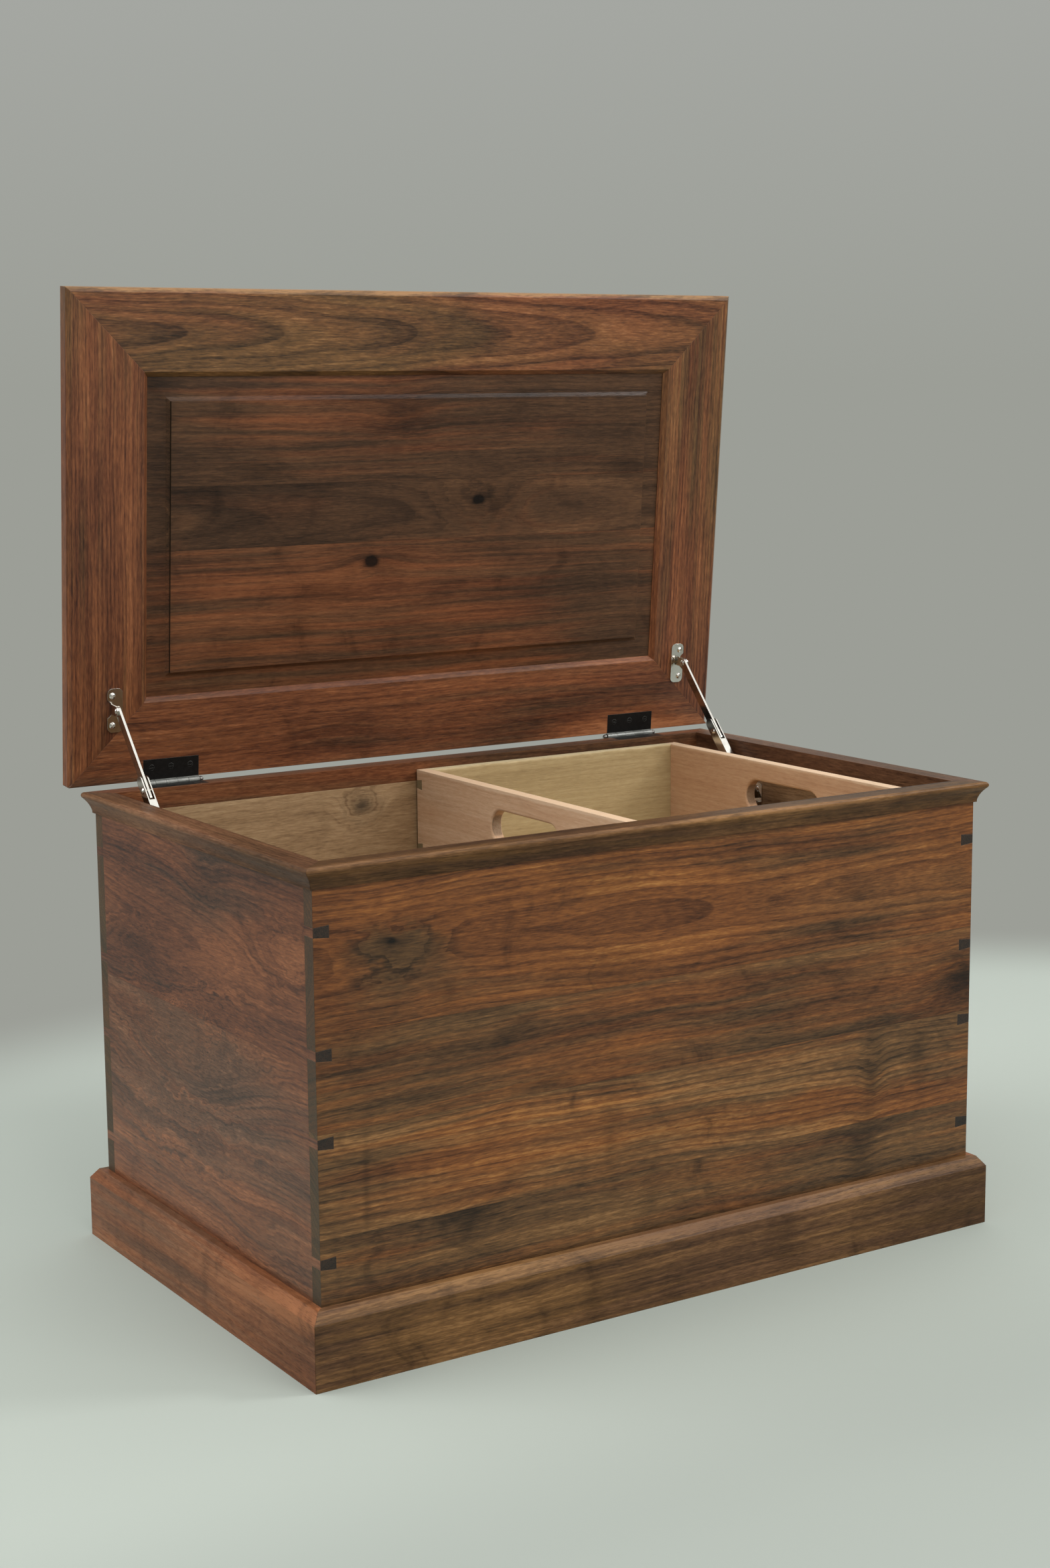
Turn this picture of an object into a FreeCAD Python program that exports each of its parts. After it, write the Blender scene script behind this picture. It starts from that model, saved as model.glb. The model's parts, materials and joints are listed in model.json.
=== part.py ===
import FreeCAD, Part
import Sketcher
import os
import re
from FreeCAD import Placement, Rotation, Vector

os.makedirs("parts", exist_ok=True)
doc = FreeCAD.newDocument("blanket_chest")

# Driving dimensions in millimetres and degrees: name, value, what it measures
DIMENSIONS = [
    ("case_width", 914, "outside of the dovetailed box, left to right"),
    ("case_depth", 558, "outside of the dovetailed box, front to back"),
    ("case_height", 450, "height of the dovetailed box, from base to top frame"),
    ("board", 19, "thickness of the boards of the box"),
    ("pin_narrow", 10.6, "height of a dovetail pin at the corner"),
    ("pin_wide", 13.8, "height of a dovetail pin at the inside of the box"),
    ("pin_margin", 46, "outermost pins from the edges of the board"),
    ("pin_middle", 95, "between the two middle pins"),
    ("bottom_thick", 12, "thickness of the bottom board"),
    ("bottom_lift", 10, "bottom board above the lower edge of the box"),
    ("groove_deep", 6, "depth of the grooves for the bottom board"),
    ("slip", 0.3, "room left around a board in its groove"),
    ("base_height", 86, "height of the base"),
    ("base_out", 18, "how far the base stands out from the box"),
    ("base_chamfer_across", 9, "width of the base chamfer"),
    ("base_chamfer_down", 12, "height of the base chamfer"),
    ("frame_height", 25, "height of the top frame"),
    ("frame_out", 13, "how far the nose of the top frame stands out"),
    ("nose_radius", 4, "radius of the nose of the top frame"),
    ("nose_low_angle", 45, "start of the nose, degrees below level"),
    ("nose_middle_angle", 22.5, "middle of the nose, degrees above level"),
    ("frame_step", 3, "how far the foot of the moulding stands out"),
    ("frame_fillet", 2.2, "height of the square fillet under the hollow"),
    ("hollow_radius", 30, "radius of the hollow of the moulding"),
    ("lid_thick", 19, "thickness of the lid frame"),
    ("lid_overhang", 13, "lid beyond the nose at the front and the two ends"),
    ("lid_gap", 0.8, "between the shut lid and the top frame"),
    ("lid_member", 104, "width of the lid frame members"),
    ("lid_edge_bevel", 5, "bevel along the lower outer edges of the lid"),
    ("lid_inner_bevel", 6, "bevel along the inner edges of the lid frame"),
    ("tongue_thick", 5.6, "thickness of the tongue around the panel"),
    ("tongue_deep", 10, "depth of the grooves for the tongue"),
    ("tongue_room", 1.5, "room for the panel to swell at the foot of the groove"),
    ("border_flat", 24, "nearly flat part of the border of the raised panel"),
    ("border_rise", 1, "rise of the nearly flat part"),
    ("border_bevel", 5, "steep part of the border of the raised panel"),
    ("border_bevel_rise", 2.5, "rise of the steep part"),
    ("open_angle", 85, "lid opening, from shut"),
    ("hinge_inset", 109, "centre of each hinge from the outside of the case"),
    ("barrel_offset", 4.6, "hinge axis behind the edges of lid and frame"),
    ("barrel_radius", 4.25, "outside radius of the hinge knuckles"),
    ("knuckle_length", 15, "length of one of the five knuckles"),
    ("knuckle_gap", 0.3, "between neighbouring knuckles"),
    ("leaf_thick", 2, "thickness of a hinge leaf"),
    ("leaf_reach", 26, "reach of a leaf over the wood"),
    ("hinge_pin_radius", 2, "radius of the hinge pin"),
    ("running", 0.05, "radial room of a pin or rivet that turns"),
    ("ball_radius", 3.4, "radius of the ball tips of the hinge pin"),
    ("hinge_screw_spread", 26, "outer hinge screws from the middle one"),
    ("hinge_screw_inset", 15.8, "hinge screws from the edge of the wood"),
    ("screw_head", 3.6, "radius of a screw head"),
    ("screw_shank", 1.8, "radius of a screw shank"),
    ("screw_length", 15, "length of a screw"),
    ("slot_wide", 1, "width of the slot of a screw"),
    ("slot_deep", 0.9, "depth of the slot of a screw"),
    ("dome_head", 4.2, "radius of the domed head of a bracket screw"),
    ("dome_high", 2.2, "height of the domed head"),
    ("cross_long", 4.6, "length of the cross in the domed head"),
    ("cross_deep", 1.5, "depth of the cross"),
    ("stay_wall_gap", 13, "middle plane of a stay from the side of the case"),
    ("stay_reach", 94, "lid pivot of the stay from the back edge of the lid"),
    ("stay_drop", 14.5, "lid pivot of the stay from the inner face of the lid"),
    ("stay_slope", 41, "lean of the straight stay from upright"),
    ("upper_length", 116, "lid pivot to knee"),
    ("lower_length", 118, "knee to foot"),
    ("arm_wide", 12, "width of the flat upper arm"),
    ("arm_thick", 3, "thickness of the flat upper arm"),
    ("arm_tail", 14.5, "upper arm beyond the knee"),
    ("arm_corner", 2.5, "rounding of the tail corners"),
    ("channel_deep", 14, "depth of the channel-shaped lower arm"),
    ("channel_wide", 10, "outside width of the lower arm"),
    ("channel_wall", 1.5, "wall of the lower arm"),
    ("channel_lead", 20, "walls of the lower arm above the knee"),
    ("web_start", 16.5, "web of the lower arm begins below the knee"),
    ("rivet_radius", 2.5, "radius of the rivets and pins of the stays"),
    ("rivet_head", 4.2, "radius of the rivet heads"),
    ("rivet_head_high", 1.8, "height of the rivet heads"),
    ("plate_thick", 2, "thickness of the stay brackets"),
    ("plate_wide", 20, "width of the stay brackets"),
    ("plate_long", 54.5, "length of the stay brackets"),
    ("plate_corner", 6.5, "rounding of the corners of the brackets"),
    ("plate_spread", 18.4, "bracket screws from the middle of the bracket"),
    ("plate_shift", 2, "lid bracket screws moved back and out from the pivot"),
    ("plate_inset", 1.5, "middle of the lid bracket inside the middle plane of its stay"),
    ("notch_long", 15, "length of the notch that the ear was bent up from"),
    ("notch_slope", 4, "slope at the ends of the notch"),
    ("ear_gap", 0.3, "between the ear of the bracket and the arm"),
    ("ear_radius", 6.2, "radius of the rounded end of the ear"),
    ("boss_radius", 6.5, "radius of the boss on the case bracket"),
    ("foot_gap", 0.3, "between the boss and the lower arm"),
    ("tray_wide", 416, "outside of the tray, left to right"),
    ("tray_high", 122, "height of the tray"),
    ("tray_clear", 3, "tray from the front and back of the case"),
    ("tray_side_gap", 40, "tray from the right side of the case"),
    ("tray_drop", 10, "top edge of the tray below the top frame"),
    ("tray_lift", 0.3, "tray above its runners"),
    ("tray_end", 16, "thickness of the ends of the tray"),
    ("tray_wall", 12.5, "thickness of the front and back of the tray"),
    ("tray_pin_narrow", 10, "height of a tray pin at the corner"),
    ("tray_pin_wide", 13.4, "height of a tray pin at the inside"),
    ("tray_pin_margin", 19, "tray pins from the edges of the board"),
    ("tray_bottom_thick", 6, "thickness of the tray bottom"),
    ("tray_bottom_lift", 6, "tray bottom above the lower edge of the tray"),
    ("tray_groove", 5, "depth of the grooves for the tray bottom"),
    ("hole_long", 150, "length of the hand-holes"),
    ("hole_high", 42, "height of the hand-holes"),
    ("hole_drop", 47, "middle of the hand-holes below the top of the tray"),
    ("hole_round", 3.5, "rounding of the edges of the hand-holes"),
    ("runner_high", 20, "height of the tray runners"),
    ("runner_wide", 16, "width of the tray runners"),
    ("runner_end_gap", 30, "ends of the runners from the sides of the case"),
]
NAMES = {row[0] for row in DIMENSIONS}

sheet = doc.addObject("Spreadsheet::Sheet", "dims")
for number, (name, size, note) in enumerate(DIMENSIONS, start=1):
    sheet.set(f"A{number}", note)
    sheet.set(f"B{number}", str(size))
    sheet.setAlias(f"B{number}", name)
doc.recompute()

# The origin is on the floor, under the middle of the box around the open chest: the open lid leans out
# further behind than the base does in front, so the middle of the case lies a little in front of it
LID_SWING = "(barrel_offset * (1 - cos(open_angle)) + (lid_gap / 2 + lid_thick) * sin(open_angle))"
MIDDLE_Y = f"((base_out - frame_out - {LID_SWING}) / 2)"

# Places that many pieces share, from the origin
HALF_WIDTH = "(case_width / 2)"
INNER_X = "(case_width / 2 - board)"
FRONT_FACE = f"({MIDDLE_Y} - case_depth / 2)"
FRONT_INSIDE = f"({MIDDLE_Y} - case_depth / 2 + board)"
BACK_INSIDE = f"({MIDDLE_Y} + case_depth / 2 - board)"
BACK_FACE = f"({MIDDLE_Y} + case_depth / 2)"
CASE_TOP = "(base_height + case_height)"
FRAME_TOP = "(base_height + case_height + frame_height)"
HINGE_Y = f"({BACK_FACE} + frame_out + barrel_offset)"
HINGE_Z = f"({FRAME_TOP} + lid_gap / 2)"
LEAF_HALF = "(5 * knuckle_length / 2)"
STAY_X = f"({INNER_X} - stay_wall_gap)"
TRAY_RIGHT = f"({INNER_X} - tray_side_gap)"
TRAY_LEFT = f"({TRAY_RIGHT} - tray_wide)"
TRAY_FRONT = f"({FRONT_INSIDE} + tray_clear)"
TRAY_BACK = f"({BACK_INSIDE} - tray_clear)"
TRAY_TOP = f"({FRAME_TOP} - tray_drop)"
TRAY_LOW = f"({TRAY_TOP} - tray_high)"

# Places on the shut lid, from the hinge axis
LID_UNDER = "(lid_gap / 2)"
LID_TOP = "(lid_gap / 2 + lid_thick)"
LID_HALF = "(case_width / 2 + frame_out + lid_overhang)"
LID_BACK = "(-barrel_offset)"
LID_FRONT = "(-barrel_offset - case_depth - 2 * frame_out - lid_overhang)"
PIVOT_Y = "(-barrel_offset - stay_reach)"
PIVOT_Z = "(lid_gap / 2 - stay_drop)"
PLATE_Y = f"({PIVOT_Y} + plate_shift)"

# Stay pivots with the lid open, from the origin
OPEN_PIVOT_Y = f"({HINGE_Y} + {PIVOT_Y} * cos(open_angle) + {PIVOT_Z} * sin(open_angle))"
OPEN_PIVOT_Z = f"({HINGE_Z} - {PIVOT_Y} * sin(open_angle) + {PIVOT_Z} * cos(open_angle))"
KNEE_Y = f"({OPEN_PIVOT_Y} - upper_length * sin(stay_slope))"
KNEE_Z = f"({OPEN_PIVOT_Z} - upper_length * cos(stay_slope))"
FOOT_Y = f"({KNEE_Y} - lower_length * sin(stay_slope))"
FOOT_Z = f"({KNEE_Z} - lower_length * cos(stay_slope))"

SIGNS = {"left": "-1", "right": "1"}
NODES = {}


# Small helpers for sizes, outlines and solids

def bound(text):
    """An expression with every dimension name pointed at the sheet."""
    return re.sub(r"[a-z_]+", lambda hit: "dims." + hit[0] if hit[0] in NAMES else hit[0], str(text))


def value(text):
    return float(sheet.evalExpression(bound(text)))


def tie(thing, place, text):
    thing.setExpression(place, bound(text))


def hold(sketch, kind, spot, text):
    """A constraint of the sketch that follows an expression."""
    number = sketch.addConstraint(Sketcher.Constraint(kind, *spot, value(text)))
    tie(sketch, f"Constraints[{number}]", text)


def draw_circle(sketch, across, up, radius):
    middle = Vector(value(across), value(up), 0)
    ring = sketch.addGeometry(Part.Circle(middle, Vector(0, 0, 1), value(radius)))
    hold(sketch, "DistanceX", (-1, 1, ring, 3), across)
    hold(sketch, "DistanceY", (-1, 1, ring, 3), up)
    hold(sketch, "Radius", (ring,), radius)


def draw_outline(sketch, corners):
    """A closed outline; a corner with a middle point ends a half circle, with a radius too an arc."""
    spots = [Vector(value(corner[0]), value(corner[1]), 0) for corner in corners]
    edges = []
    for index, corner in enumerate(corners):
        start, end = spots[index - 1], spots[index]
        if len(corner) == 2:
            edge = sketch.addGeometry(Part.LineSegment(start, end))
        else:
            middle = Vector(value(corner[2]), value(corner[3]), 0)
            edge = sketch.addGeometry(Part.Arc(start, middle, end))
        reach = [sketch.getPoint(edge, point).distanceToPoint(start) for point in (1, 2)]
        edges.append((edge, 1, 2) if reach[0] < reach[1] else (edge, 2, 1))
    for index, corner in enumerate(corners):
        edge, first, last = edges[index]
        after = edges[(index + 1) % len(edges)]
        sketch.addConstraint(Sketcher.Constraint("Coincident", edge, last, after[0], after[1]))
        hold(sketch, "DistanceX", (-1, 1, edge, last), corner[0])
        hold(sketch, "DistanceY", (-1, 1, edge, last), corner[1])
        if len(corner) == 5:
            hold(sketch, "Radius", (edge,), corner[4])
        elif len(corner) == 4:
            chord = spots[index] - spots[index - 1]
            if abs(chord.y) < abs(chord.x):
                hold(sketch, "DistanceY", (-1, 1, edge, 3), corner[1])
            else:
                hold(sketch, "DistanceX", (-1, 1, edge, 3), corner[0])


def new_body(label):
    return doc.addObject("PartDesign::Body", label)


def sketch_at(body, plane, level, outlines):
    """Outlines on a plane of the body, moved along the normal of the plane."""
    sketch = body.newObject("Sketcher::SketchObject", "sketch")
    support = [item for item in body.Origin.OriginFeatures if item.Role == plane][0]
    sketch.AttachmentSupport = [(support, "")]
    sketch.MapMode = "FlatFace"
    tie(sketch, "AttachmentOffset.Base.z", level)
    for outline in outlines:
        if outline[0] == "circle":
            draw_circle(sketch, *outline[1:])
        else:
            draw_outline(sketch, outline)
    return sketch


def fill(body, plane, outlines, low, high):
    """Solid between two levels along the axis that stands on the plane."""
    level = f"-({high})" if plane == "XZ_Plane" else low
    pad = body.newObject("PartDesign::Pad", "pad")
    pad.Profile = sketch_at(body, plane, level, outlines)
    tie(pad, "Length", f"({high}) - ({low})")
    return pad


def cut(body, plane, outlines, low, high):
    """Space between two levels along the axis that stands on the plane."""
    level = f"-({low})" if plane == "XZ_Plane" else high
    pocket = body.newObject("PartDesign::Pocket", "pocket")
    pocket.Profile = sketch_at(body, plane, level, outlines)
    tie(pocket, "Length", f"({high}) - ({low})")
    return pocket


def turn(body, corners):
    """Solid turned about the X axis from half a section above it."""
    sketch = sketch_at(body, "XY_Plane", "0", [corners])
    round_solid = body.newObject("PartDesign::Revolution", "turning")
    round_solid.Profile = sketch
    round_solid.ReferenceAxis = (sketch, ["H_Axis"])
    round_solid.Angle = 360
    return round_solid


def rectangle(left, low, right, high):
    return [(left, low), (right, low), (right, high), (left, high)]


def outward(side, near, far):
    """Levels along X of a solid that lies near to far from the middle, on one side."""
    if side == "left":
        return f"-({far})", f"-({near})"
    return near, far


def keep(label, thing):
    """The finished piece takes its node name."""
    thing.Label = label
    NODES[label] = thing
    return thing


def place(thing, across, back, up, lean=None):
    """Move a piece and, where it leans, turn it about the X axis."""
    if lean:
        thing.Placement = Placement(Vector(), Rotation(Vector(1, 0, 0), value(lean)))
        tie(thing, "Placement.Rotation.Angle", lean)
    for axis, text in zip("xyz", (across, back, up)):
        tie(thing, f"Placement.Base.{axis}", text)
    return thing


def on_lid(thing):
    return place(thing, "0", HINGE_Y, HINGE_Z, "-open_angle")


# Screws: blanks cut their seats in metal and wood, slots and crosses are cut afterwards

UP, DOWN = Rotation(), Rotation(Vector(1, 0, 0), 180)
TO_RIGHT, TO_LEFT = Rotation(Vector(0, 1, 0), 90), Rotation(Vector(0, 1, 0), -90)
DIRECTIONS = {"up": UP, "down": DOWN, "right": TO_RIGHT, "left": TO_LEFT}
OPPOSITE = {"up": "down", "right": "left", "left": "right"}
DOME_RADIUS = "((dome_head ^ 2 + dome_high ^ 2) / (2 * dome_high))"
DOME_SINK = f"({DOME_RADIUS} - dome_high)"


def set_at(thing, spot, direction, shift=("0", "0", "0")):
    thing.Placement = Placement(Vector(), DIRECTIONS[direction])
    for axis, text, more in zip("xyz", spot, shift):
        tie(thing, f"Placement.Base.{axis}", f"{text} + {more}")
    return thing


def slot_box(spot, direction, long, wide, deep, rise):
    """A slot for the driver, cut from the top of a head that rises above the spot."""
    corners = {
        "up": (f"-({long}) / 2", f"-({wide}) / 2", f"-({rise})"),
        "down": (f"-({long}) / 2", f"({wide}) / 2", rise),
        "right": (f"-({rise})", f"-({wide}) / 2", f"({long}) / 2"),
        "left": (rise, f"-({wide}) / 2", f"-({long}) / 2"),
    }
    slot = set_at(doc.addObject("Part::Box", "screw_slot"), spot, direction, corners[direction])
    tie(slot, "Length", long)
    tie(slot, "Width", wide)
    tie(slot, "Height", deep)
    return slot


def sunk_head(spot, direction):
    """A countersunk head and its slot."""
    head = set_at(doc.addObject("Part::Cone", "screw_head_cone"), spot, direction)
    tie(head, "Radius1", "screw_head")
    tie(head, "Radius2", "screw_shank")
    tie(head, "Height", "screw_head - screw_shank")
    return head, slot_box(spot, direction, "2 * screw_head", "slot_wide", "slot_deep", "0")


def domed_head(spot, direction):
    """A domed head that rises from the plate, and its cross."""
    sinks = {"up": ("0", "0", DOME_SINK), "right": (DOME_SINK, "0", "0"), "left": (f"-{DOME_SINK}", "0", "0")}
    head = doc.addObject("Part::Sphere", "screw_head_dome")
    set_at(head, spot, OPPOSITE[direction], sinks[direction])
    tie(head, "Radius", DOME_RADIUS)
    tie(head, "Angle1", f"asin({DOME_SINK} / {DOME_RADIUS})")
    cross = doc.addObject("Part::Fuse", "screw_cross")
    cross.Base = slot_box(spot, direction, "cross_long", "slot_wide", "cross_deep", "dome_high")
    cross.Tool = slot_box(spot, direction, "slot_wide", "cross_long", "cross_deep", "dome_high")
    return head, cross


def screw_group(label, spots, make_head):
    """Screws as one group: the finished group and the blanks that seat it."""
    blanks, slots = [], []
    for spot, direction in spots:
        head, slot = make_head(spot, direction)
        shank = set_at(doc.addObject("Part::Cylinder", "screw_shank_round"), spot, direction)
        tie(shank, "Radius", "screw_shank")
        tie(shank, "Height", "screw_length")
        blank = doc.addObject("Part::Fuse", "screw_blank")
        blank.Base, blank.Tool = head, shank
        blanks.append(blank)
        slots.append(slot)
    seat = doc.addObject("Part::Compound", "screw_seats")
    seat.Links = blanks
    slotting = doc.addObject("Part::Compound", "screw_slots")
    slotting.Links = slots
    screws = doc.addObject("Part::Cut", label)
    screws.Base, screws.Tool = seat, slotting
    return keep(label, screws), seat


def seated(label, solid, seat):
    """A piece with seats cut for its screws."""
    piece = doc.addObject("Part::Cut", label)
    piece.Base, piece.Tool = solid, seat
    return keep(label, piece)


# Mitred frames

def frame_member(label, side, profile, box, width, low, high):
    """One mitred member; the profile runs from the outer edge inwards."""
    left, right, front, back = box
    edge = {"left": left, "right": right, "front": front, "back": back}[side]
    sign = "+" if side in ("left", "front") else "-"
    section = []
    for corner in profile:
        placed = [f"{edge} {sign} ({corner[0]})", corner[1]]
        if len(corner) > 2:
            placed += [f"{edge} {sign} ({corner[2]})", corner[3], corner[4]]
        section.append(tuple(placed))
    body = new_body(label)
    inner = f"{edge} {sign} {width}"
    if side in ("front", "back"):
        fill(body, "YZ_Plane", [section], left, right)
        ends = [[(left, edge), (left, inner), (f"{left} + {width}", inner)],
                [(right, edge), (right, inner), (f"{right} - {width}", inner)]]
    else:
        fill(body, "XZ_Plane", [section], front, back)
        ends = [[(edge, front), (inner, front), (inner, f"{front} + {width}")],
                [(edge, back), (inner, back), (inner, f"{back} - {width}")]]
    cut(body, "XY_Plane", ends, low, high)
    return body


# Dovetailed case: the front and back carry tails, the sides carry pins

PIN_HEIGHTS = [
    "(base_height + pin_margin)",
    "(base_height + case_height / 2 - pin_middle / 2)",
    "(base_height + case_height / 2 + pin_middle / 2)",
    "(base_height + case_height - pin_margin)",
]
BOTTOM_LOW = "(base_height + bottom_lift)"
BOTTOM_HIGH = "(base_height + bottom_lift + bottom_thick)"


def pin_outlines(side):
    sign = SIGNS[side]
    outer, inner = f"{sign} * {HALF_WIDTH}", f"{sign} * {INNER_X}"
    return [[(outer, f"{up} - pin_narrow / 2"), (outer, f"{up} + pin_narrow / 2"),
             (inner, f"{up} + pin_wide / 2"), (inner, f"{up} - pin_wide / 2")] for up in PIN_HEIGHTS]


def tail_board(label, low, high, groove_low, groove_high):
    body = new_body(label)
    whole = rectangle(f"-{HALF_WIDTH}", "base_height", HALF_WIDTH, CASE_TOP)
    fill(body, "XZ_Plane", [whole], low, high)
    cut(body, "XZ_Plane", pin_outlines("left") + pin_outlines("right"), low, high)
    groove = rectangle(groove_low, BOTTOM_LOW, groove_high, BOTTOM_HIGH)
    cut(body, "YZ_Plane", [groove], f"-({INNER_X} + groove_deep)", f"{INNER_X} + groove_deep")
    return keep(label, body)


tail_board("front_board", FRONT_FACE, FRONT_INSIDE, f"{FRONT_INSIDE} - groove_deep", FRONT_INSIDE)
tail_board("back_board", BACK_INSIDE, BACK_FACE, BACK_INSIDE, f"{BACK_INSIDE} + groove_deep")


def pin_board(label, side):
    body = new_body(label)
    low, high = outward(side, INNER_X, HALF_WIDTH)
    fill(body, "XZ_Plane", [rectangle(low, "base_height", high, CASE_TOP)], FRONT_INSIDE, BACK_INSIDE)
    fill(body, "XZ_Plane", pin_outlines(side), FRONT_FACE, BACK_FACE)
    groove_low, groove_high = outward(side, INNER_X, f"{INNER_X} + groove_deep")
    groove = rectangle(groove_low, BOTTOM_LOW, groove_high, BOTTOM_HIGH)
    cut(body, "XZ_Plane", [groove], FRONT_INSIDE, BACK_INSIDE)
    return body


side_blanks = {side: pin_board(f"{side}_side_blank", side) for side in SIGNS}

bottom = new_body("bottom_board")
BOTTOM_X = f"({INNER_X} + groove_deep - slip)"
BOTTOM_FRONT = f"({FRONT_INSIDE} - groove_deep + slip)"
BOTTOM_BACK = f"({BACK_INSIDE} + groove_deep - slip)"
bottom_outline = rectangle(f"-{BOTTOM_X}", BOTTOM_FRONT, BOTTOM_X, BOTTOM_BACK)
fill(bottom, "XY_Plane", [bottom_outline], BOTTOM_LOW, BOTTOM_HIGH)
keep("bottom_board", bottom)

# Base: a mitred plinth with a chamfer along its upper edge

BASE_WIDTH = "(base_out + board)"
BASE_BOX = (f"(-{HALF_WIDTH} - base_out)", f"({HALF_WIDTH} + base_out)",
            f"({FRONT_FACE} - base_out)", f"({BACK_FACE} + base_out)")
BASE_PROFILE = [("0", "0"), (BASE_WIDTH, "0"), (BASE_WIDTH, "base_height"),
                ("base_chamfer_across", "base_height"), ("0", "base_height - base_chamfer_down")]
for side in ("front", "back", "left", "right"):
    base = frame_member(f"base_{side}", side, BASE_PROFILE, BASE_BOX, BASE_WIDTH, "0", "base_height")
    keep(f"base_{side}", base)

# Top frame: a rounded nose over a hollow and a small square fillet

FRAME_WIDTH = "(frame_out + board)"
FRAME_BOX = (f"(-{HALF_WIDTH} - frame_out)", f"({HALF_WIDTH} + frame_out)",
             f"({FRONT_FACE} - frame_out)", f"({BACK_FACE} + frame_out)")
NOSE_LEVEL = f"({FRAME_TOP} - nose_radius)"
NOSE_FOOT_X = "(nose_radius - nose_radius * cos(nose_low_angle))"
NOSE_FOOT_Z = f"({NOSE_LEVEL} - nose_radius * sin(nose_low_angle))"
NOSE_MIDDLE = ("nose_radius - nose_radius * cos(nose_middle_angle)",
               f"{NOSE_LEVEL} + nose_radius * sin(nose_middle_angle)")
HOLLOW_FOOT_X = "(frame_out - frame_step)"
HOLLOW_FOOT_Z = f"({CASE_TOP} + frame_fillet)"
# The hollow bows inwards by about this share of its chord, and its radius settles it
HOLLOW_BOW = "0.08"
HOLLOW_MIDDLE = (
    f"({HOLLOW_FOOT_X} + {NOSE_FOOT_X}) / 2 + {HOLLOW_BOW} * ({NOSE_FOOT_Z} - {HOLLOW_FOOT_Z})",
    f"({HOLLOW_FOOT_Z} + {NOSE_FOOT_Z}) / 2 + {HOLLOW_BOW} * ({HOLLOW_FOOT_X} - {NOSE_FOOT_X})",
)
FRAME_PROFILE = [
    (FRAME_WIDTH, CASE_TOP),
    (HOLLOW_FOOT_X, CASE_TOP),
    (HOLLOW_FOOT_X, HOLLOW_FOOT_Z),
    (NOSE_FOOT_X, NOSE_FOOT_Z, *HOLLOW_MIDDLE, "hollow_radius"),
    ("nose_radius", FRAME_TOP, *NOSE_MIDDLE, "nose_radius"),
    (FRAME_WIDTH, FRAME_TOP),
]
frame_blanks = {}
for side in ("front", "back", "left", "right"):
    frame_blanks[side] = frame_member(f"top_frame_{side}", side, FRAME_PROFILE, FRAME_BOX, FRAME_WIDTH,
                                      CASE_TOP, FRAME_TOP)
for side in ("front", "left", "right"):
    keep(f"top_frame_{side}", frame_blanks[side])

# Lid: four mitred members around a raised panel, drawn shut from the hinge axis

LID_BOX = (f"(-{LID_HALF})", LID_HALF, LID_FRONT, LID_BACK)
TONGUE_LOW = f"({LID_UNDER} + lid_thick / 2 - tongue_thick / 2)"
TONGUE_HIGH = f"({LID_UNDER} + lid_thick / 2 + tongue_thick / 2)"
LID_INNER_EDGE = [
    ("lid_member - lid_inner_bevel", LID_UNDER),
    ("lid_member", f"{LID_UNDER} + lid_inner_bevel"),
    ("lid_member", f"{TONGUE_LOW} - slip"),
    ("lid_member - tongue_deep", f"{TONGUE_LOW} - slip"),
    ("lid_member - tongue_deep", f"{TONGUE_HIGH} + slip"),
    ("lid_member", f"{TONGUE_HIGH} + slip"),
    ("lid_member", f"{LID_TOP} - lid_inner_bevel"),
    ("lid_member - lid_inner_bevel", LID_TOP),
]
BEVELLED_EDGE = [("0", LID_TOP), ("0", f"{LID_UNDER} + lid_edge_bevel"), ("lid_edge_bevel", LID_UNDER)]
SQUARE_EDGE = [("0", LID_TOP), ("0", LID_UNDER)]
lid_blanks = {}
for side in ("front", "back", "left", "right"):
    outer_edge = SQUARE_EDGE if side == "back" else BEVELLED_EDGE
    lid_blanks[side] = frame_member(f"lid_{side}_blank", side, LID_INNER_EDGE + outer_edge, LID_BOX,
                                    "lid_member", LID_UNDER, LID_TOP)
on_lid(keep("lid_front_rail", lid_blanks["front"]))

PANEL_X = f"({LID_HALF} - lid_member)"
PANEL_FRONT = f"({LID_FRONT} + lid_member)"
PANEL_BACK = f"({LID_BACK} - lid_member)"


def panel_plate(name, margin, low, high):
    """A flat layer of the panel, smaller than the opening by a margin on each side."""
    plate = doc.addObject("Part::Box", name)
    tie(plate, "Length", f"2 * ({PANEL_X} - ({margin}))")
    tie(plate, "Width", f"{PANEL_BACK} - {PANEL_FRONT} - 2 * ({margin})")
    tie(plate, "Height", f"({high}) - ({low})")
    tie(plate, "Placement.Base.x", f"-({PANEL_X} - ({margin}))")
    tie(plate, "Placement.Base.y", f"{PANEL_FRONT} + ({margin})")
    tie(plate, "Placement.Base.z", low)
    return plate


def panel_slope(name, outer, inner, start, end, face):
    """A sloping layer of the panel that rises from one margin to another on one face."""
    slope = doc.addObject("Part::Wedge", name)
    quarter = 90 if face == "top" else -90
    slope.Placement = Placement(Vector(), Rotation(Vector(1, 0, 0), quarter))
    for mark, margin in (("", outer), ("2", inner)):
        tie(slope, f"X{mark}min", f"-({PANEL_X} - ({margin}))")
        tie(slope, f"X{mark}max", f"{PANEL_X} - ({margin})")
        near, far = f"({PANEL_FRONT} + ({margin}))", f"({PANEL_BACK} - ({margin}))"
        tie(slope, f"Z{mark}min", f"-{far}" if face == "top" else near)
        tie(slope, f"Z{mark}max", f"-{near}" if face == "top" else far)
    tie(slope, "Ymin", start)
    tie(slope, "Ymax", end)
    return slope


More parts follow.
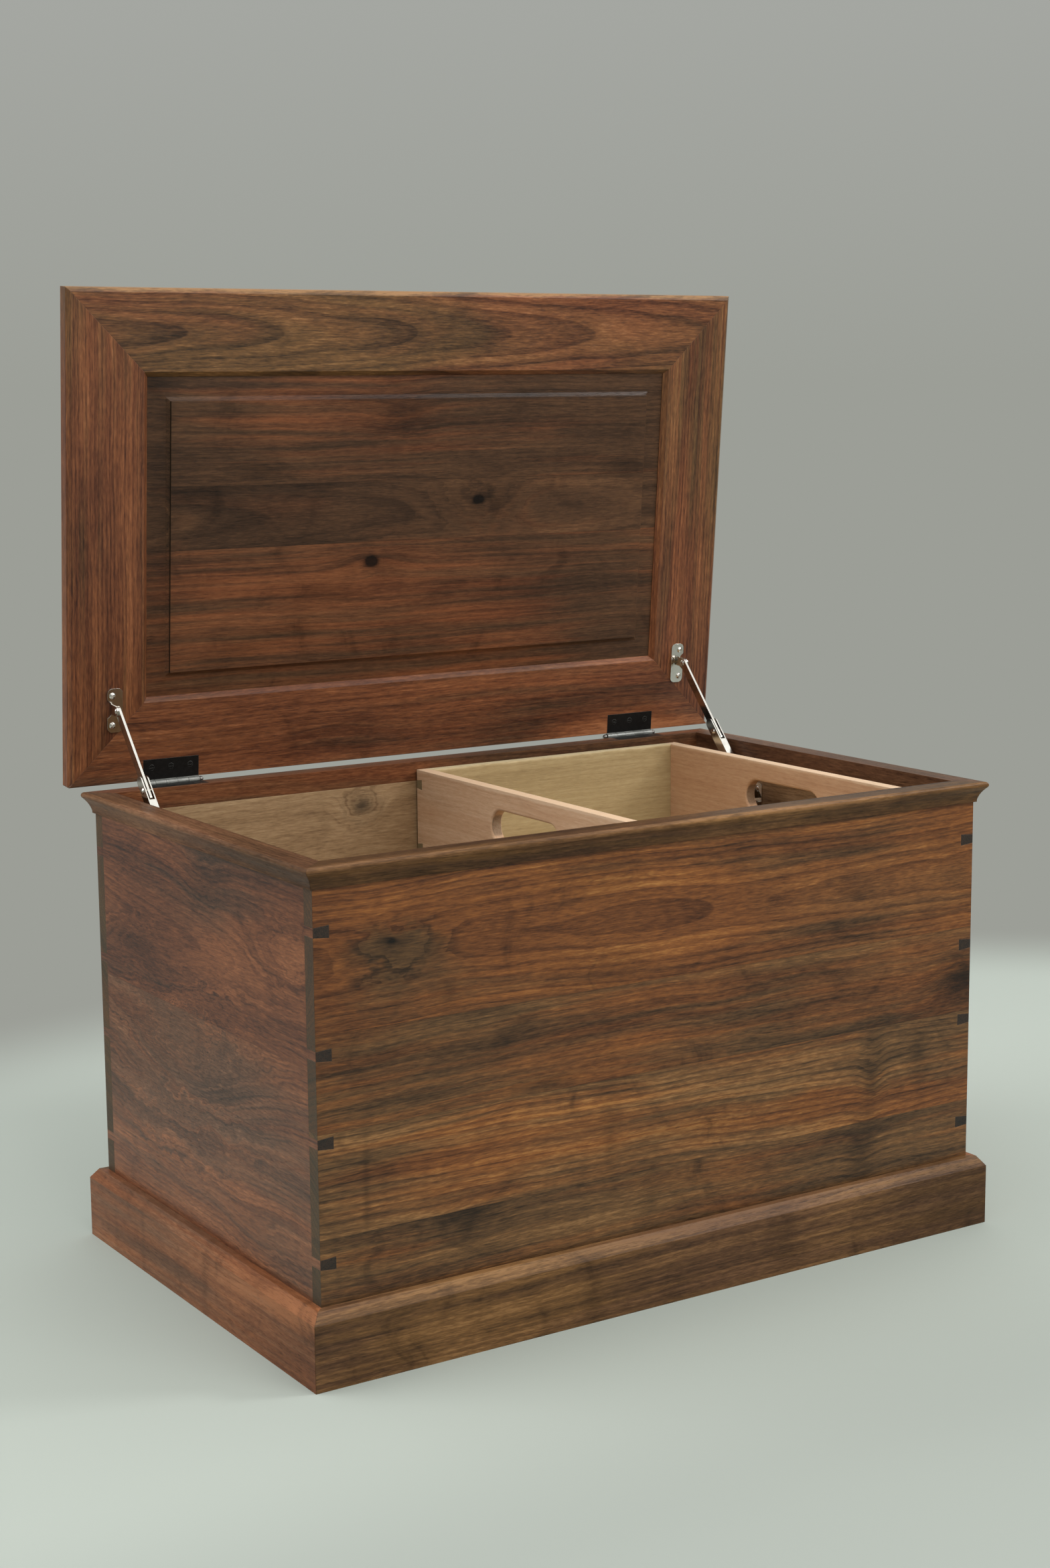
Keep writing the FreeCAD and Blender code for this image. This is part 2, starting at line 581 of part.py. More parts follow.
BORDER = "(border_flat + border_bevel)"
layers = [panel_plate("panel_tongue", "-(tongue_deep - tongue_room)", TONGUE_LOW, TONGUE_HIGH),
          panel_plate("panel_field", BORDER, LID_UNDER, LID_TOP)]
for face, foot in (("top", TONGUE_HIGH), ("under", f"(-{TONGUE_LOW})")):
    crest = f"{foot} + border_rise"
    layers.append(panel_slope(f"panel_border_{face}", "slip", "border_flat", foot, crest, face))
    layers.append(panel_slope(f"panel_bevel_{face}", "border_flat", BORDER, crest,
                              f"{crest} + border_bevel_rise", face))
panel = doc.addObject("Part::MultiFuse", "lid_panel")
panel.Shapes = layers
on_lid(keep("lid_panel", panel))

# Hinges: leaves let flush into the frame and the lid, five knuckles on one pin

LID_KNUCKLES = ["-knuckle_length", "knuckle_length"]
CASE_KNUCKLES = ["-2 * knuckle_length", "0", "2 * knuckle_length"]
HINGE_SPOTS = {side: f"({sign} * ({HALF_WIDTH} - hinge_inset))" for side, sign in SIGNS.items()}


def leaf(name, low, high, gaps, room, bore):
    """A leaf around the hinge axis, cut away with some room where the other leaf's knuckles sit."""
    body = new_body(name)
    plate = rectangle(f"-{LEAF_HALF}", "-barrel_offset - leaf_reach", LEAF_HALF, "0")
    fill(body, "XY_Plane", [plate], low, high)
    fill(body, "YZ_Plane", [("circle", "0", "0", "barrel_radius")], f"-{LEAF_HALF}", LEAF_HALF)
    reach = f"(knuckle_length / 2 + {room})"
    spaces = [rectangle(f"{gap} - {reach}", "-barrel_offset", f"{gap} + {reach}", "2 * barrel_radius")
              for gap in gaps]
    cut(body, "XY_Plane", spaces, "-2 * barrel_radius", "2 * barrel_radius")
    cut(body, "YZ_Plane", [("circle", "0", "0", bore)], f"-{LEAF_HALF}", LEAF_HALF)
    return body


def hinge_screws(label, up, direction, edge):
    """Three screws in each leaf, in from the edge of the wood."""
    spots = []
    for middle in HINGE_SPOTS.values():
        for shift in ("-hinge_screw_spread", "0", "hinge_screw_spread"):
            spots.append(((f"{middle} + {shift}", f"{edge} - hinge_screw_inset", up), direction))
    return screw_group(label, spots, sunk_head)


def leaf_recesses(edge):
    return [rectangle(f"{middle} - {LEAF_HALF}", f"{edge} - leaf_reach", f"{middle} + {LEAF_HALF}", edge)
            for middle in HINGE_SPOTS.values()]


FRAME_EDGE = FRAME_BOX[3]
case_seats = hinge_screws("hinge_case_screws", FRAME_TOP, "down", FRAME_EDGE)[1]
case_recesses = leaf_recesses(FRAME_EDGE)
cut(frame_blanks["back"], "XY_Plane", case_recesses, f"{FRAME_TOP} - leaf_thick", FRAME_TOP)
seated("top_frame_back", frame_blanks["back"], case_seats)
lid_screws, lid_seats = hinge_screws("hinge_lid_screws", LID_UNDER, "up", LID_BACK)
on_lid(lid_screws)
cut(lid_blanks["back"], "XY_Plane", leaf_recesses(LID_BACK), LID_UNDER, f"{LID_UNDER} + leaf_thick")
on_lid(seated("lid_back_rail", lid_blanks["back"], lid_seats))

BALL_MIDDLE = f"({LEAF_HALF} + sqrt(ball_radius ^ 2 - hinge_pin_radius ^ 2))"
PIN_SECTION = [
    (f"-{BALL_MIDDLE} - ball_radius", "0"),
    (f"-{LEAF_HALF}", "hinge_pin_radius", f"-{BALL_MIDDLE}", "ball_radius", "ball_radius"),
    (LEAF_HALF, "hinge_pin_radius"),
    (f"{BALL_MIDDLE} + ball_radius", "0", BALL_MIDDLE, "ball_radius", "ball_radius"),
]
for side, middle in HINGE_SPOTS.items():
    case_leaf = leaf(f"{side}_case_leaf_blank", f"-{LID_UNDER} - leaf_thick", f"-{LID_UNDER}", LID_KNUCKLES,
                     "0", "hinge_pin_radius")
    seated(f"{side}_hinge_case_leaf", place(case_leaf, middle, HINGE_Y, HINGE_Z), case_seats)
    lid_leaf = leaf(f"{side}_lid_leaf_blank", LID_UNDER, f"{LID_UNDER} + leaf_thick", CASE_KNUCKLES,
                    "knuckle_gap", "hinge_pin_radius + running")
    on_lid(seated(f"{side}_hinge_lid_leaf", place(lid_leaf, middle, "0", "0"), lid_seats))
    pin = new_body(f"{side}_hinge_pin")
    turn(pin, PIN_SECTION)
    keep(f"{side}_hinge_pin", place(pin, middle, HINGE_Y, HINGE_Z))

# Folding stays: bracket on the lid, flat arm, channel-shaped arm, bracket on the case

lid_plate_spots, case_plate_spots = [], []
for side, sign in SIGNS.items():
    for shift in ("- plate_spread", "+ plate_spread"):
        lid_plate_spots.append(((f"{sign} * {STAY_X} + {sign} * plate_shift", f"{PLATE_Y} {shift}",
                                 f"{LID_UNDER} - plate_thick"), "up"))
        case_plate_spots.append(((f"{sign} * ({INNER_X} - plate_thick)", FOOT_Y, f"{FOOT_Z} {shift}"), side))
plate_screws, plate_seats = screw_group("stay_lid_screws", lid_plate_spots, domed_head)
on_lid(plate_screws)
wall_seats = screw_group("stay_case_screws", case_plate_spots, domed_head)[1]
for side in SIGNS:
    on_lid(seated(f"lid_{side}_stile", lid_blanks[side], plate_seats))
    seated(f"{side}_side", side_blanks[side], wall_seats)

# A point of the dome of a rivet head, as shares of its height and radius; the dome's radius settles it
DOME_HEIGHT = "0.8"
DOME_REACH = "0.6"


def dome_corner(end, level, high):
    """A dome between the rim of a rivet head at a level and its tip, ending at one of them."""
    return (*end, f"{level} + {DOME_HEIGHT} * ({high})", f"{DOME_REACH} * rivet_head",
            "(rivet_head ^ 2 + rivet_head_high ^ 2) / (2 * rivet_head_high)")


def rivet(name, near, far, heads):
    """A rivet along X between two levels, with a domed head at the ends named in heads."""
    body = new_body(name)
    section = [(near, "0")]
    if "near" in heads:
        section = [(f"{near} - rivet_head_high", "0"),
                   dome_corner((near, "rivet_head"), near, "-rivet_head_high")]
    section += [(near, "rivet_radius"), (far, "rivet_radius")]
    if "far" in heads:
        section += [(far, "rivet_head"),
                    dome_corner((f"{far} + rivet_head_high", "0"), far, "rivet_head_high")]
    else:
        section.append((far, "0"))
    turn(body, section)
    return body


PLATE_BOW = "(plate_corner * cos(45))"


def plate_outline(middle, up, sign="1", notch=()):
    """A bracket plate with rounded corners; the corners of a notch go into the side that the sign names."""
    def corner(across, along, round_across=None, round_along=None):
        spot = [f"{middle} + {sign} * ({across})", f"{up} + ({along})"]
        if round_across:
            spot += [f"{middle} + {sign} * ({round_across})", f"{up} + ({round_along})", "plate_corner"]
        return tuple(spot)

    wide, long = "plate_wide / 2", "plate_long / 2"
    flat_wide, flat_long = f"({wide} - plate_corner)", f"({long} - plate_corner)"
    bow_wide, bow_long = f"({flat_wide} + {PLATE_BOW})", f"({flat_long} + {PLATE_BOW})"
    return [
        corner(f"-{wide}", flat_long),
        corner(f"-{flat_wide}", long, f"-{bow_wide}", bow_long),
        corner(flat_wide, long),
        corner(wide, flat_long, bow_wide, bow_long),
        *notch,
        corner(wide, f"-{flat_long}"),
        corner(flat_wide, f"-{long}", bow_wide, f"-{bow_long}"),
        corner(f"-{flat_wide}", f"-{long}"),
        corner(f"-{wide}", f"-{flat_long}", f"-{bow_wide}", f"-{bow_long}"),
    ]


EAR_NEAR = "(arm_thick / 2 + ear_gap)"
EAR_FAR = "(arm_thick / 2 + ear_gap + plate_thick)"
EAR_OUTLINE = [
    (f"{PIVOT_Y} + ear_radius", LID_UNDER),
    (f"{PIVOT_Y} - ear_radius", LID_UNDER),
    (f"{PIVOT_Y} - ear_radius", PIVOT_Z),
    (f"{PIVOT_Y} + ear_radius", PIVOT_Z, PIVOT_Y, f"{PIVOT_Z} - ear_radius"),
]
ARM_HALF = "(arm_wide / 2)"
TAIL_END = "(-upper_length - arm_tail)"
CORNER_BOW = "(arm_corner * cos(45))"
ARM_OUTLINE = [
    (ARM_HALF, "0"),
    (f"-{ARM_HALF}", "0", "0", ARM_HALF),
    (f"-{ARM_HALF}", f"{TAIL_END} + arm_corner"),
    (f"-{ARM_HALF} + arm_corner", TAIL_END, f"-{ARM_HALF} + arm_corner - {CORNER_BOW}",
     f"{TAIL_END} + arm_corner - {CORNER_BOW}", "arm_corner"),
    (f"{ARM_HALF} - arm_corner", TAIL_END),
    (ARM_HALF, f"{TAIL_END} + arm_corner", f"{ARM_HALF} - arm_corner + {CORNER_BOW}",
     f"{TAIL_END} + arm_corner - {CORNER_BOW}", "arm_corner"),
]
CHANNEL_HALF = "(channel_deep / 2)"
CHANNEL_HEAD = f"(channel_lead - {CHANNEL_HALF})"
CHANNEL_FOOT = "(-lower_length)"
CHANNEL_OUTLINE = [
    (CHANNEL_HALF, CHANNEL_HEAD),
    (f"-{CHANNEL_HALF}", CHANNEL_HEAD, "0", "channel_lead"),
    (f"-{CHANNEL_HALF}", CHANNEL_FOOT),
    (CHANNEL_HALF, CHANNEL_FOOT, "0", f"{CHANNEL_FOOT} - {CHANNEL_HALF}"),
]
WEB_INSIDE = f"(-{CHANNEL_HALF} + channel_wall)"
CHANNEL_OUT = "(channel_wide / 2)"
CHANNEL_IN = "(channel_wide / 2 - channel_wall)"
CHANNEL_HOLLOW = rectangle(WEB_INSIDE, f"{CHANNEL_FOOT} - channel_deep", "channel_deep", "2 * channel_lead")
WEB_OPENING = rectangle("-channel_deep", "-web_start", "channel_deep", "2 * channel_lead")

for side, sign in SIGNS.items():
    middle = f"({sign} * {STAY_X})"

    bracket = new_body(f"{side}_lid_bracket_blank")
    plate_x = f"{middle} - {sign} * plate_inset"
    plate_edge, notch_floor = f"{plate_x} + {sign} * plate_wide / 2", f"{middle} + {sign} * {EAR_FAR}"
    notch = [
        (plate_edge, f"{PIVOT_Y} + notch_long / 2 + notch_slope"),
        (notch_floor, f"{PIVOT_Y} + notch_long / 2"),
        (notch_floor, f"{PIVOT_Y} - notch_long / 2"),
        (plate_edge, f"{PIVOT_Y} - notch_long / 2 - notch_slope"),
    ]
    plate = plate_outline(plate_x, PLATE_Y, sign, notch)
    fill(bracket, "XY_Plane", [plate], f"{LID_UNDER} - plate_thick", LID_UNDER)
    ear_low, ear_high = outward(side, f"{STAY_X} + {EAR_NEAR}", f"{STAY_X} + {EAR_FAR}")
    fill(bracket, "YZ_Plane", [EAR_OUTLINE], ear_low, ear_high)
    cut(bracket, "YZ_Plane", [("circle", PIVOT_Y, PIVOT_Z, "rivet_radius")], ear_low, ear_high)
    on_lid(seated(f"{side}_stay_lid_bracket", bracket, plate_seats))

    near, far = outward(side, f"-{EAR_NEAR}", EAR_FAR)
    lid_rivet = rivet(f"{side}_stay_lid_rivet", f"({near})", f"({far})", ("near", "far"))
    keep(f"{side}_stay_lid_rivet", place(lid_rivet, middle, OPEN_PIVOT_Y, OPEN_PIVOT_Z))

    arm = new_body(f"{side}_stay_arm")
    fill(arm, "YZ_Plane", [ARM_OUTLINE], "-arm_thick / 2", "arm_thick / 2")
    arm_holes = [("circle", "0", "0", "rivet_radius + running"),
                 ("circle", "0", "-upper_length", "rivet_radius + running")]
    cut(arm, "YZ_Plane", arm_holes, "-arm_thick / 2", "arm_thick / 2")
    keep(f"{side}_stay_arm", place(arm, middle, OPEN_PIVOT_Y, OPEN_PIVOT_Z, "-stay_slope"))

    channel = new_body(f"{side}_stay_channel")
    fill(channel, "YZ_Plane", [CHANNEL_OUTLINE], f"-{CHANNEL_OUT}", CHANNEL_OUT)
    cut(channel, "YZ_Plane", [CHANNEL_HOLLOW], f"-{CHANNEL_IN}", CHANNEL_IN)
    cut(channel, "YZ_Plane", [WEB_OPENING], f"-{CHANNEL_IN}", CHANNEL_IN)
    channel_holes = [("circle", "0", "0", "rivet_radius"), ("circle", "0", CHANNEL_FOOT, "rivet_radius")]
    cut(channel, "YZ_Plane", channel_holes, f"-{CHANNEL_OUT}", CHANNEL_OUT)
    keep(f"{side}_stay_channel", place(channel, middle, KNEE_Y, KNEE_Z, "-stay_slope"))

    knee = rivet(f"{side}_stay_knee_rivet", f"-{CHANNEL_OUT}", CHANNEL_OUT, ("near", "far"))
    keep(f"{side}_stay_knee_rivet", place(knee, middle, KNEE_Y, KNEE_Z))
    head = "near" if side == "right" else "far"
    foot = rivet(f"{side}_stay_foot_pin", f"-{CHANNEL_OUT}", CHANNEL_OUT, (head,))
    keep(f"{side}_stay_foot_pin", place(foot, middle, FOOT_Y, FOOT_Z))

    wall_plate = new_body(f"{side}_case_bracket_blank")
    plate_low, plate_high = outward(side, f"{INNER_X} - plate_thick", INNER_X)
    fill(wall_plate, "YZ_Plane", [plate_outline(FOOT_Y, FOOT_Z)], plate_low, plate_high)
    boss_near = f"{STAY_X} + {CHANNEL_OUT} + foot_gap"
    boss_low, boss_high = outward(side, boss_near, f"{INNER_X} - plate_thick / 2")
    fill(wall_plate, "YZ_Plane", [("circle", FOOT_Y, FOOT_Z, "boss_radius")], boss_low, boss_high)
    seated(f"{side}_stay_case_bracket", wall_plate, wall_seats)

# Tray: dovetailed, with a hand-hole in each end; the ends carry tails

TRAY_PINS = [f"({TRAY_LOW} + tray_pin_margin)", f"({TRAY_TOP} - tray_pin_margin)"]
TRAY_INNER_FRONT = f"({TRAY_FRONT} + tray_wall)"
TRAY_INNER_BACK = f"({TRAY_BACK} - tray_wall)"
TRAY_INNER_LEFT = f"({TRAY_LEFT} + tray_end)"
TRAY_INNER_RIGHT = f"({TRAY_RIGHT} - tray_end)"
TRAY_BOTTOM_LOW = f"({TRAY_LOW} + tray_bottom_lift)"
TRAY_BOTTOM_HIGH = f"({TRAY_LOW} + tray_bottom_lift + tray_bottom_thick)"
HOLE_MIDDLE = f"({TRAY_TOP} - hole_drop)"
HOLE_RADIUS = "(hole_high / 2)"
HOLE_STRAIGHT = "(hole_long / 2 - hole_high / 2)"
HAND_HOLE = [
    (f"{MIDDLE_Y} - {HOLE_STRAIGHT}", f"{HOLE_MIDDLE} + {HOLE_RADIUS}"),
    (f"{MIDDLE_Y} - {HOLE_STRAIGHT}", f"{HOLE_MIDDLE} - {HOLE_RADIUS}",
     f"{MIDDLE_Y} - hole_long / 2", HOLE_MIDDLE),
    (f"{MIDDLE_Y} + {HOLE_STRAIGHT}", f"{HOLE_MIDDLE} - {HOLE_RADIUS}"),
    (f"{MIDDLE_Y} + {HOLE_STRAIGHT}", f"{HOLE_MIDDLE} + {HOLE_RADIUS}",
     f"{MIDDLE_Y} + hole_long / 2", HOLE_MIDDLE),
]
# Edges nearer than this to a face or an outline lie on it
TOUCH = 0.01


def tray_pin_outlines(outer, inner):
    return [[(outer, f"{up} - tray_pin_narrow / 2"), (outer, f"{up} + tray_pin_narrow / 2"),
             (inner, f"{up} + tray_pin_wide / 2"), (inner, f"{up} - tray_pin_wide / 2")] for up in TRAY_PINS]


def tray_tail_board(label, low, high, groove_low, groove_high):
    body = new_body(label)
    fill(body, "YZ_Plane", [rectangle(TRAY_FRONT, TRAY_LOW, TRAY_BACK, TRAY_TOP)], low, high)
    front_pins = tray_pin_outlines(TRAY_FRONT, TRAY_INNER_FRONT)
    back_pins = tray_pin_outlines(TRAY_BACK, TRAY_INNER_BACK)
    cut(body, "YZ_Plane", front_pins + back_pins, low, high)
    groove = rectangle(groove_low, TRAY_BOTTOM_LOW, groove_high, TRAY_BOTTOM_HIGH)
    cut(body, "XZ_Plane", [groove], f"{TRAY_INNER_FRONT} - tray_groove", f"{TRAY_INNER_BACK} + tray_groove")
    hole = cut(body, "YZ_Plane", [HAND_HOLE], low, high)
    doc.recompute()
    middle, level = value(MIDDLE_Y), value(HOLE_MIDDLE)
    reach = value("hole_long / 2") + TOUCH
    height = value(HOLE_RADIUS) + TOUCH
    rim = []
    for number, edge in enumerate(hole.Shape.Edges, start=1):
        box = edge.BoundBox
        from_faces = min(abs(box.XMin - value(low)), abs(box.XMin - value(high)))
        on_face = box.XLength < TOUCH and from_faces < TOUCH
        inside = box.YMin >= middle - reach and box.YMax <= middle + reach
        if on_face and inside and box.ZMin >= level - height and box.ZMax <= level + height:
            rim.append(f"Edge{number}")
    rounding = body.newObject("PartDesign::Fillet", "hole_rounding")
    rounding.Base = (hole, rim)
    tie(rounding, "Radius", "hole_round")
    return keep(label, body)


tray_tail_board("tray_left_end", TRAY_LEFT, TRAY_INNER_LEFT, f"{TRAY_INNER_LEFT} - tray_groove",
                TRAY_INNER_LEFT)
tray_tail_board("tray_right_end", TRAY_INNER_RIGHT, TRAY_RIGHT, TRAY_INNER_RIGHT,
                f"{TRAY_INNER_RIGHT} + tray_groove")


def tray_pin_board(label, outer, inner, groove_foot):
    body = new_body(label)
    fill(body, "YZ_Plane", [rectangle(outer, TRAY_LOW, inner, TRAY_TOP)], TRAY_INNER_LEFT, TRAY_INNER_RIGHT)
    fill(body, "YZ_Plane", tray_pin_outlines(outer, inner), TRAY_LEFT, TRAY_RIGHT)
    groove = rectangle(groove_foot, TRAY_BOTTOM_LOW, inner, TRAY_BOTTOM_HIGH)
    cut(body, "YZ_Plane", [groove], TRAY_INNER_LEFT, TRAY_INNER_RIGHT)
    return keep(label, body)


tray_pin_board("tray_front", TRAY_FRONT, TRAY_INNER_FRONT, f"{TRAY_INNER_FRONT} - tray_groove")
tray_pin_board("tray_back", TRAY_BACK, TRAY_INNER_BACK, f"{TRAY_INNER_BACK} + tray_groove")

tray_bottom = new_body("tray_bottom")
tray_floor = rectangle(f"{TRAY_INNER_LEFT} - tray_groove + slip", f"{TRAY_INNER_FRONT} - tray_groove + slip",
                       f"{TRAY_INNER_RIGHT} + tray_groove - slip", f"{TRAY_INNER_BACK} + tray_groove - slip")
fill(tray_bottom, "XY_Plane", [tray_floor], TRAY_BOTTOM_LOW, TRAY_BOTTOM_HIGH)
keep("tray_bottom", tray_bottom)

RUNNER_TOP = f"({TRAY_LOW} - tray_lift)"
RUNNER_END = f"({INNER_X} - runner_end_gap)"
for side, near, far in (("front", FRONT_INSIDE, f"{FRONT_INSIDE} + runner_wide"),
                        ("back", f"{BACK_INSIDE} - runner_wide", BACK_INSIDE)):
    runner = new_body(f"tray_runner_{side}")
    fill(runner, "YZ_Plane", [rectangle(near, f"{RUNNER_TOP} - runner_high", far, RUNNER_TOP)],
         f"-{RUNNER_END}", RUNNER_END)
    keep(f"tray_runner_{side}", runner)

doc.recompute()

# Every object must be sound before the pieces are written
for thing in doc.Objects:
    if "Invalid" in thing.State or "Error" in thing.State:
        raise RuntimeError(f"{thing.Label} did not build: {thing.State}")
    shape = getattr(thing, "Shape", None)
    if shape is not None and thing.TypeId != "Sketcher::SketchObject":
        if not thing.TypeId.startswith("App::") and (shape.isNull() or not shape.isValid()):
            raise RuntimeError(f"{thing.Label} has no sound shape")
for label, thing in NODES.items():
    if not thing.Shape.Solids:
        raise RuntimeError(f"{label} has no solid")
    thing.Shape.exportStep(f"parts/{label}.step")
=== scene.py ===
import json
import math
from dataclasses import dataclass
import bpy
from mathutils import Matrix, Vector


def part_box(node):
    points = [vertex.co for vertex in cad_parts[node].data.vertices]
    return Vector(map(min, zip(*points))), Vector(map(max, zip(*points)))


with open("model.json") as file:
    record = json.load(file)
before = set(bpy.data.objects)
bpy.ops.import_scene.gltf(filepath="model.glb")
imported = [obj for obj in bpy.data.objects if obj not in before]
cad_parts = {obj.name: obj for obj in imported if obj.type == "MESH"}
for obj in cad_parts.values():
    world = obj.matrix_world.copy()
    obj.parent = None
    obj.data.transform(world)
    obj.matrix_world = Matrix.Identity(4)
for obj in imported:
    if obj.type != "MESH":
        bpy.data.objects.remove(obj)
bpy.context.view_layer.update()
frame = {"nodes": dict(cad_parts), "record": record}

# To the right, to the back and up
X = Vector((1, 0, 0))
Y = Vector((0, 1, 0))
Z = Vector((0, 0, 1))

JOINTS = {joint["name"]: joint for joint in frame["record"]["behaviour"]["joints"]}
HINGE = Vector(JOINTS["lid_hinge"]["pos_m"])
LID_ANGLE = math.radians(JOINTS["lid_hinge"]["range_deg"][1])

# Directions of the open lid: up along its face, and out of the face that looks into the room
LID_UP = Vector((0, -math.cos(LID_ANGLE), math.sin(LID_ANGLE)))
LID_OUT = Vector((0, -math.sin(LID_ANGLE), -math.cos(LID_ANGLE)))

# Faces and corners that marks in the wood are placed by
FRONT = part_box("front_board")[0].y
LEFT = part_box("left_side")[0].x
BACK_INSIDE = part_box("back_board")[0].y
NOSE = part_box("top_frame_front")[0]
LEFT_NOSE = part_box("top_frame_left")[0]
TRAY_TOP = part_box("tray_back")[1]


def on_front(x, z):
    return Vector((x, FRONT, z))


def on_left(y, z):
    return Vector((LEFT, y, z))


def on_lid(x, up):
    """A point of the lid's inner face, by its height along the lid from the hinge."""
    return HINGE + x * X + up * LID_UP


def lid_level(up):
    return on_lid(0.0, up).dot(LID_UP)


# A small language for shader nodes

# Sockets of the Mix node that carry colours
MIX_FIRST = 6
MIX_SECOND = 7
MIX_RESULT = 2

BLACK = (0.0, 0.0, 0.0, 1.0)
BEVEL_SAMPLES = 4

# How far a rounded normal turns from the face, from none of an edge to all of it
EDGE_TURN = (0.02, 0.3)

# The standard curve between screen values and light
CURVE_FOOT = 0.04045
CURVE_SLOPE = 12.92
CURVE_SHIFT = 0.055
CURVE_POWER = 2.4
SCREEN_WHITE = 255


class Wire:
    """One output of a shader node, with arithmetic that adds math nodes to its tree."""

    def __init__(self, tree, socket):
        self.tree = tree
        self.socket = socket

    def math(self, operation, *others):
        node = self.tree.nodes.new("ShaderNodeMath")
        node.operation = operation
        for place, item in enumerate((self, *others)):
            plug(self.tree, node.inputs[place], item)
        return Wire(self.tree, node.outputs[0])

    def __add__(self, other):
        return self.math("ADD", other)

    def __sub__(self, other):
        return self.math("SUBTRACT", other)

    def __mul__(self, other):
        return self.math("MULTIPLY", other)

    def __truediv__(self, other):
        return self.math("DIVIDE", other)

    def squared(self):
        return self * self

    def step(self, low, high):
        """A smooth step from 0 at low to 1 at high."""
        node = self.tree.nodes.new("ShaderNodeMapRange")
        node.interpolation_type = "SMOOTHSTEP"
        plug(self.tree, node.inputs["Value"], self)
        node.inputs["From Min"].default_value = low
        node.inputs["From Max"].default_value = high
        return Wire(self.tree, node.outputs[0])

    def ramp(self, stops):
        """A colour from a list of places and colours."""
        node = self.tree.nodes.new("ShaderNodeValToRGB")
        points = node.color_ramp.elements
        while len(points) < len(stops):
            points.new(1.0)
        for point, (place, colour) in zip(points, stops):
            point.position = place
            point.color = colour
        plug(self.tree, node.inputs[0], self)
        return Wire(self.tree, node.outputs[0])


def plug(tree, socket, item):
    if isinstance(item, Wire):
        tree.links.new(item.socket, socket)
    else:
        socket.default_value = item


def vector(tree, x, y, z):
    node = tree.nodes.new("ShaderNodeCombineXYZ")
    for place, item in enumerate((x, y, z)):
        plug(tree, node.inputs[place], item)
    return Wire(tree, node.outputs[0])


def along(tree, point, direction, start=0.0):
    """How far a point lies along a direction."""
    node = tree.nodes.new("ShaderNodeVectorMath")
    node.operation = "DOT_PRODUCT"
    plug(tree, node.inputs[0], point)
    node.inputs[1].default_value = direction
    distance = Wire(tree, node.outputs["Value"])
    return distance - start if start else distance


@dataclass
class Pattern:
    """Noise: its waves per metre in three directions, how fine it is, and what it does to a surface."""

    along: float
    across: float
    through: float = 1.0
    detail: float = 2.0
    fineness: float = 0.5
    cut: float = 0.0
    tone: float = 0.0
    warm: float = 0.0
    roughness: float = 0.0
    height: float = 0.0


def waves(tree, pattern, x, y, z, output="Fac", shift=None):
    """The noise of a pattern, from 0 to 1, and shifted along x by a number of waves."""
    node = tree.nodes.new("ShaderNodeTexNoise")
    first = x * pattern.along
    if shift is not None:
        first = first + shift
    place = vector(tree, first, y * pattern.across, z * pattern.through)
    plug(tree, node.inputs["Vector"], place)
    node.inputs["Scale"].default_value = 1.0
    node.inputs["Detail"].default_value = pattern.detail
    node.inputs["Roughness"].default_value = pattern.fineness
    return Wire(tree, node.outputs[output])


def swing(wire, amount):
    """A noise from 0 to 1 turned into a change of half the amount either way."""
    return (wire - 0.5) * amount


def split(tree, colour):
    node = tree.nodes.new("ShaderNodeSeparateXYZ")
    plug(tree, node.inputs[0], colour)
    return [Wire(tree, output) for output in node.outputs]


def blend(tree, share, first, second, mode="MIX"):
    node = tree.nodes.new("ShaderNodeMix")
    node.data_type = "RGBA"
    node.blend_type = mode
    plug(tree, node.inputs[0], share)
    plug(tree, node.inputs[MIX_FIRST], first)
    plug(tree, node.inputs[MIX_SECOND], second)
    return Wire(tree, node.outputs[MIX_RESULT])


def darken(tree, colour, share):
    """A colour taken towards black by a share from 0 to 1."""
    return blend(tree, share, colour, BLACK)


def new_tree(name):
    material = bpy.data.materials.new(name)
    material.use_nodes = True
    tree = material.node_tree
    tree.nodes.clear()
    return material, tree


def coordinates(tree, output="Object"):
    node = tree.nodes.new("ShaderNodeTexCoord")
    return Wire(tree, node.outputs[output])


def rounded(tree, radius):
    """A normal that rounds the edges of a piece."""
    node = tree.nodes.new("ShaderNodeBevel")
    node.samples = BEVEL_SAMPLES
    node.inputs["Radius"].default_value = radius
    return Wire(tree, node.outputs[0])


def bumped(tree, height, normal, strength, distance):
    node = tree.nodes.new("ShaderNodeBump")
    node.inputs["Strength"].default_value = strength
    node.inputs["Distance"].default_value = distance
    plug(tree, node.inputs["Height"], height)
    plug(tree, node.inputs["Normal"], normal)
    return Wire(tree, node.outputs[0])


def edges(tree, soft):
    """1 on the edges that the rounded normal turns, 0 on flat faces."""
    geometry = tree.nodes.new("ShaderNodeNewGeometry")
    node = tree.nodes.new("ShaderNodeVectorMath")
    node.operation = "DOT_PRODUCT"
    plug(tree, node.inputs[0], soft)
    tree.links.new(geometry.outputs["True Normal"], node.inputs[1])
    turned = Wire(tree, node.outputs["Value"]).math("MULTIPLY_ADD", -1.0, 1.0)
    return turned.step(*EDGE_TURN)


def finish_material(tree, colour, roughness, normal, **settings):
    shader = tree.nodes.new("ShaderNodeBsdfPrincipled")
    plug(tree, shader.inputs["Base Color"], colour)
    plug(tree, shader.inputs["Roughness"], roughness)
    plug(tree, shader.inputs["Normal"], normal)
    for name, item in settings.items():
        shader.inputs[name.replace("_", " ")].default_value = item
    output = tree.nodes.new("ShaderNodeOutputMaterial")
    tree.links.new(shader.outputs[0], output.inputs["Surface"])


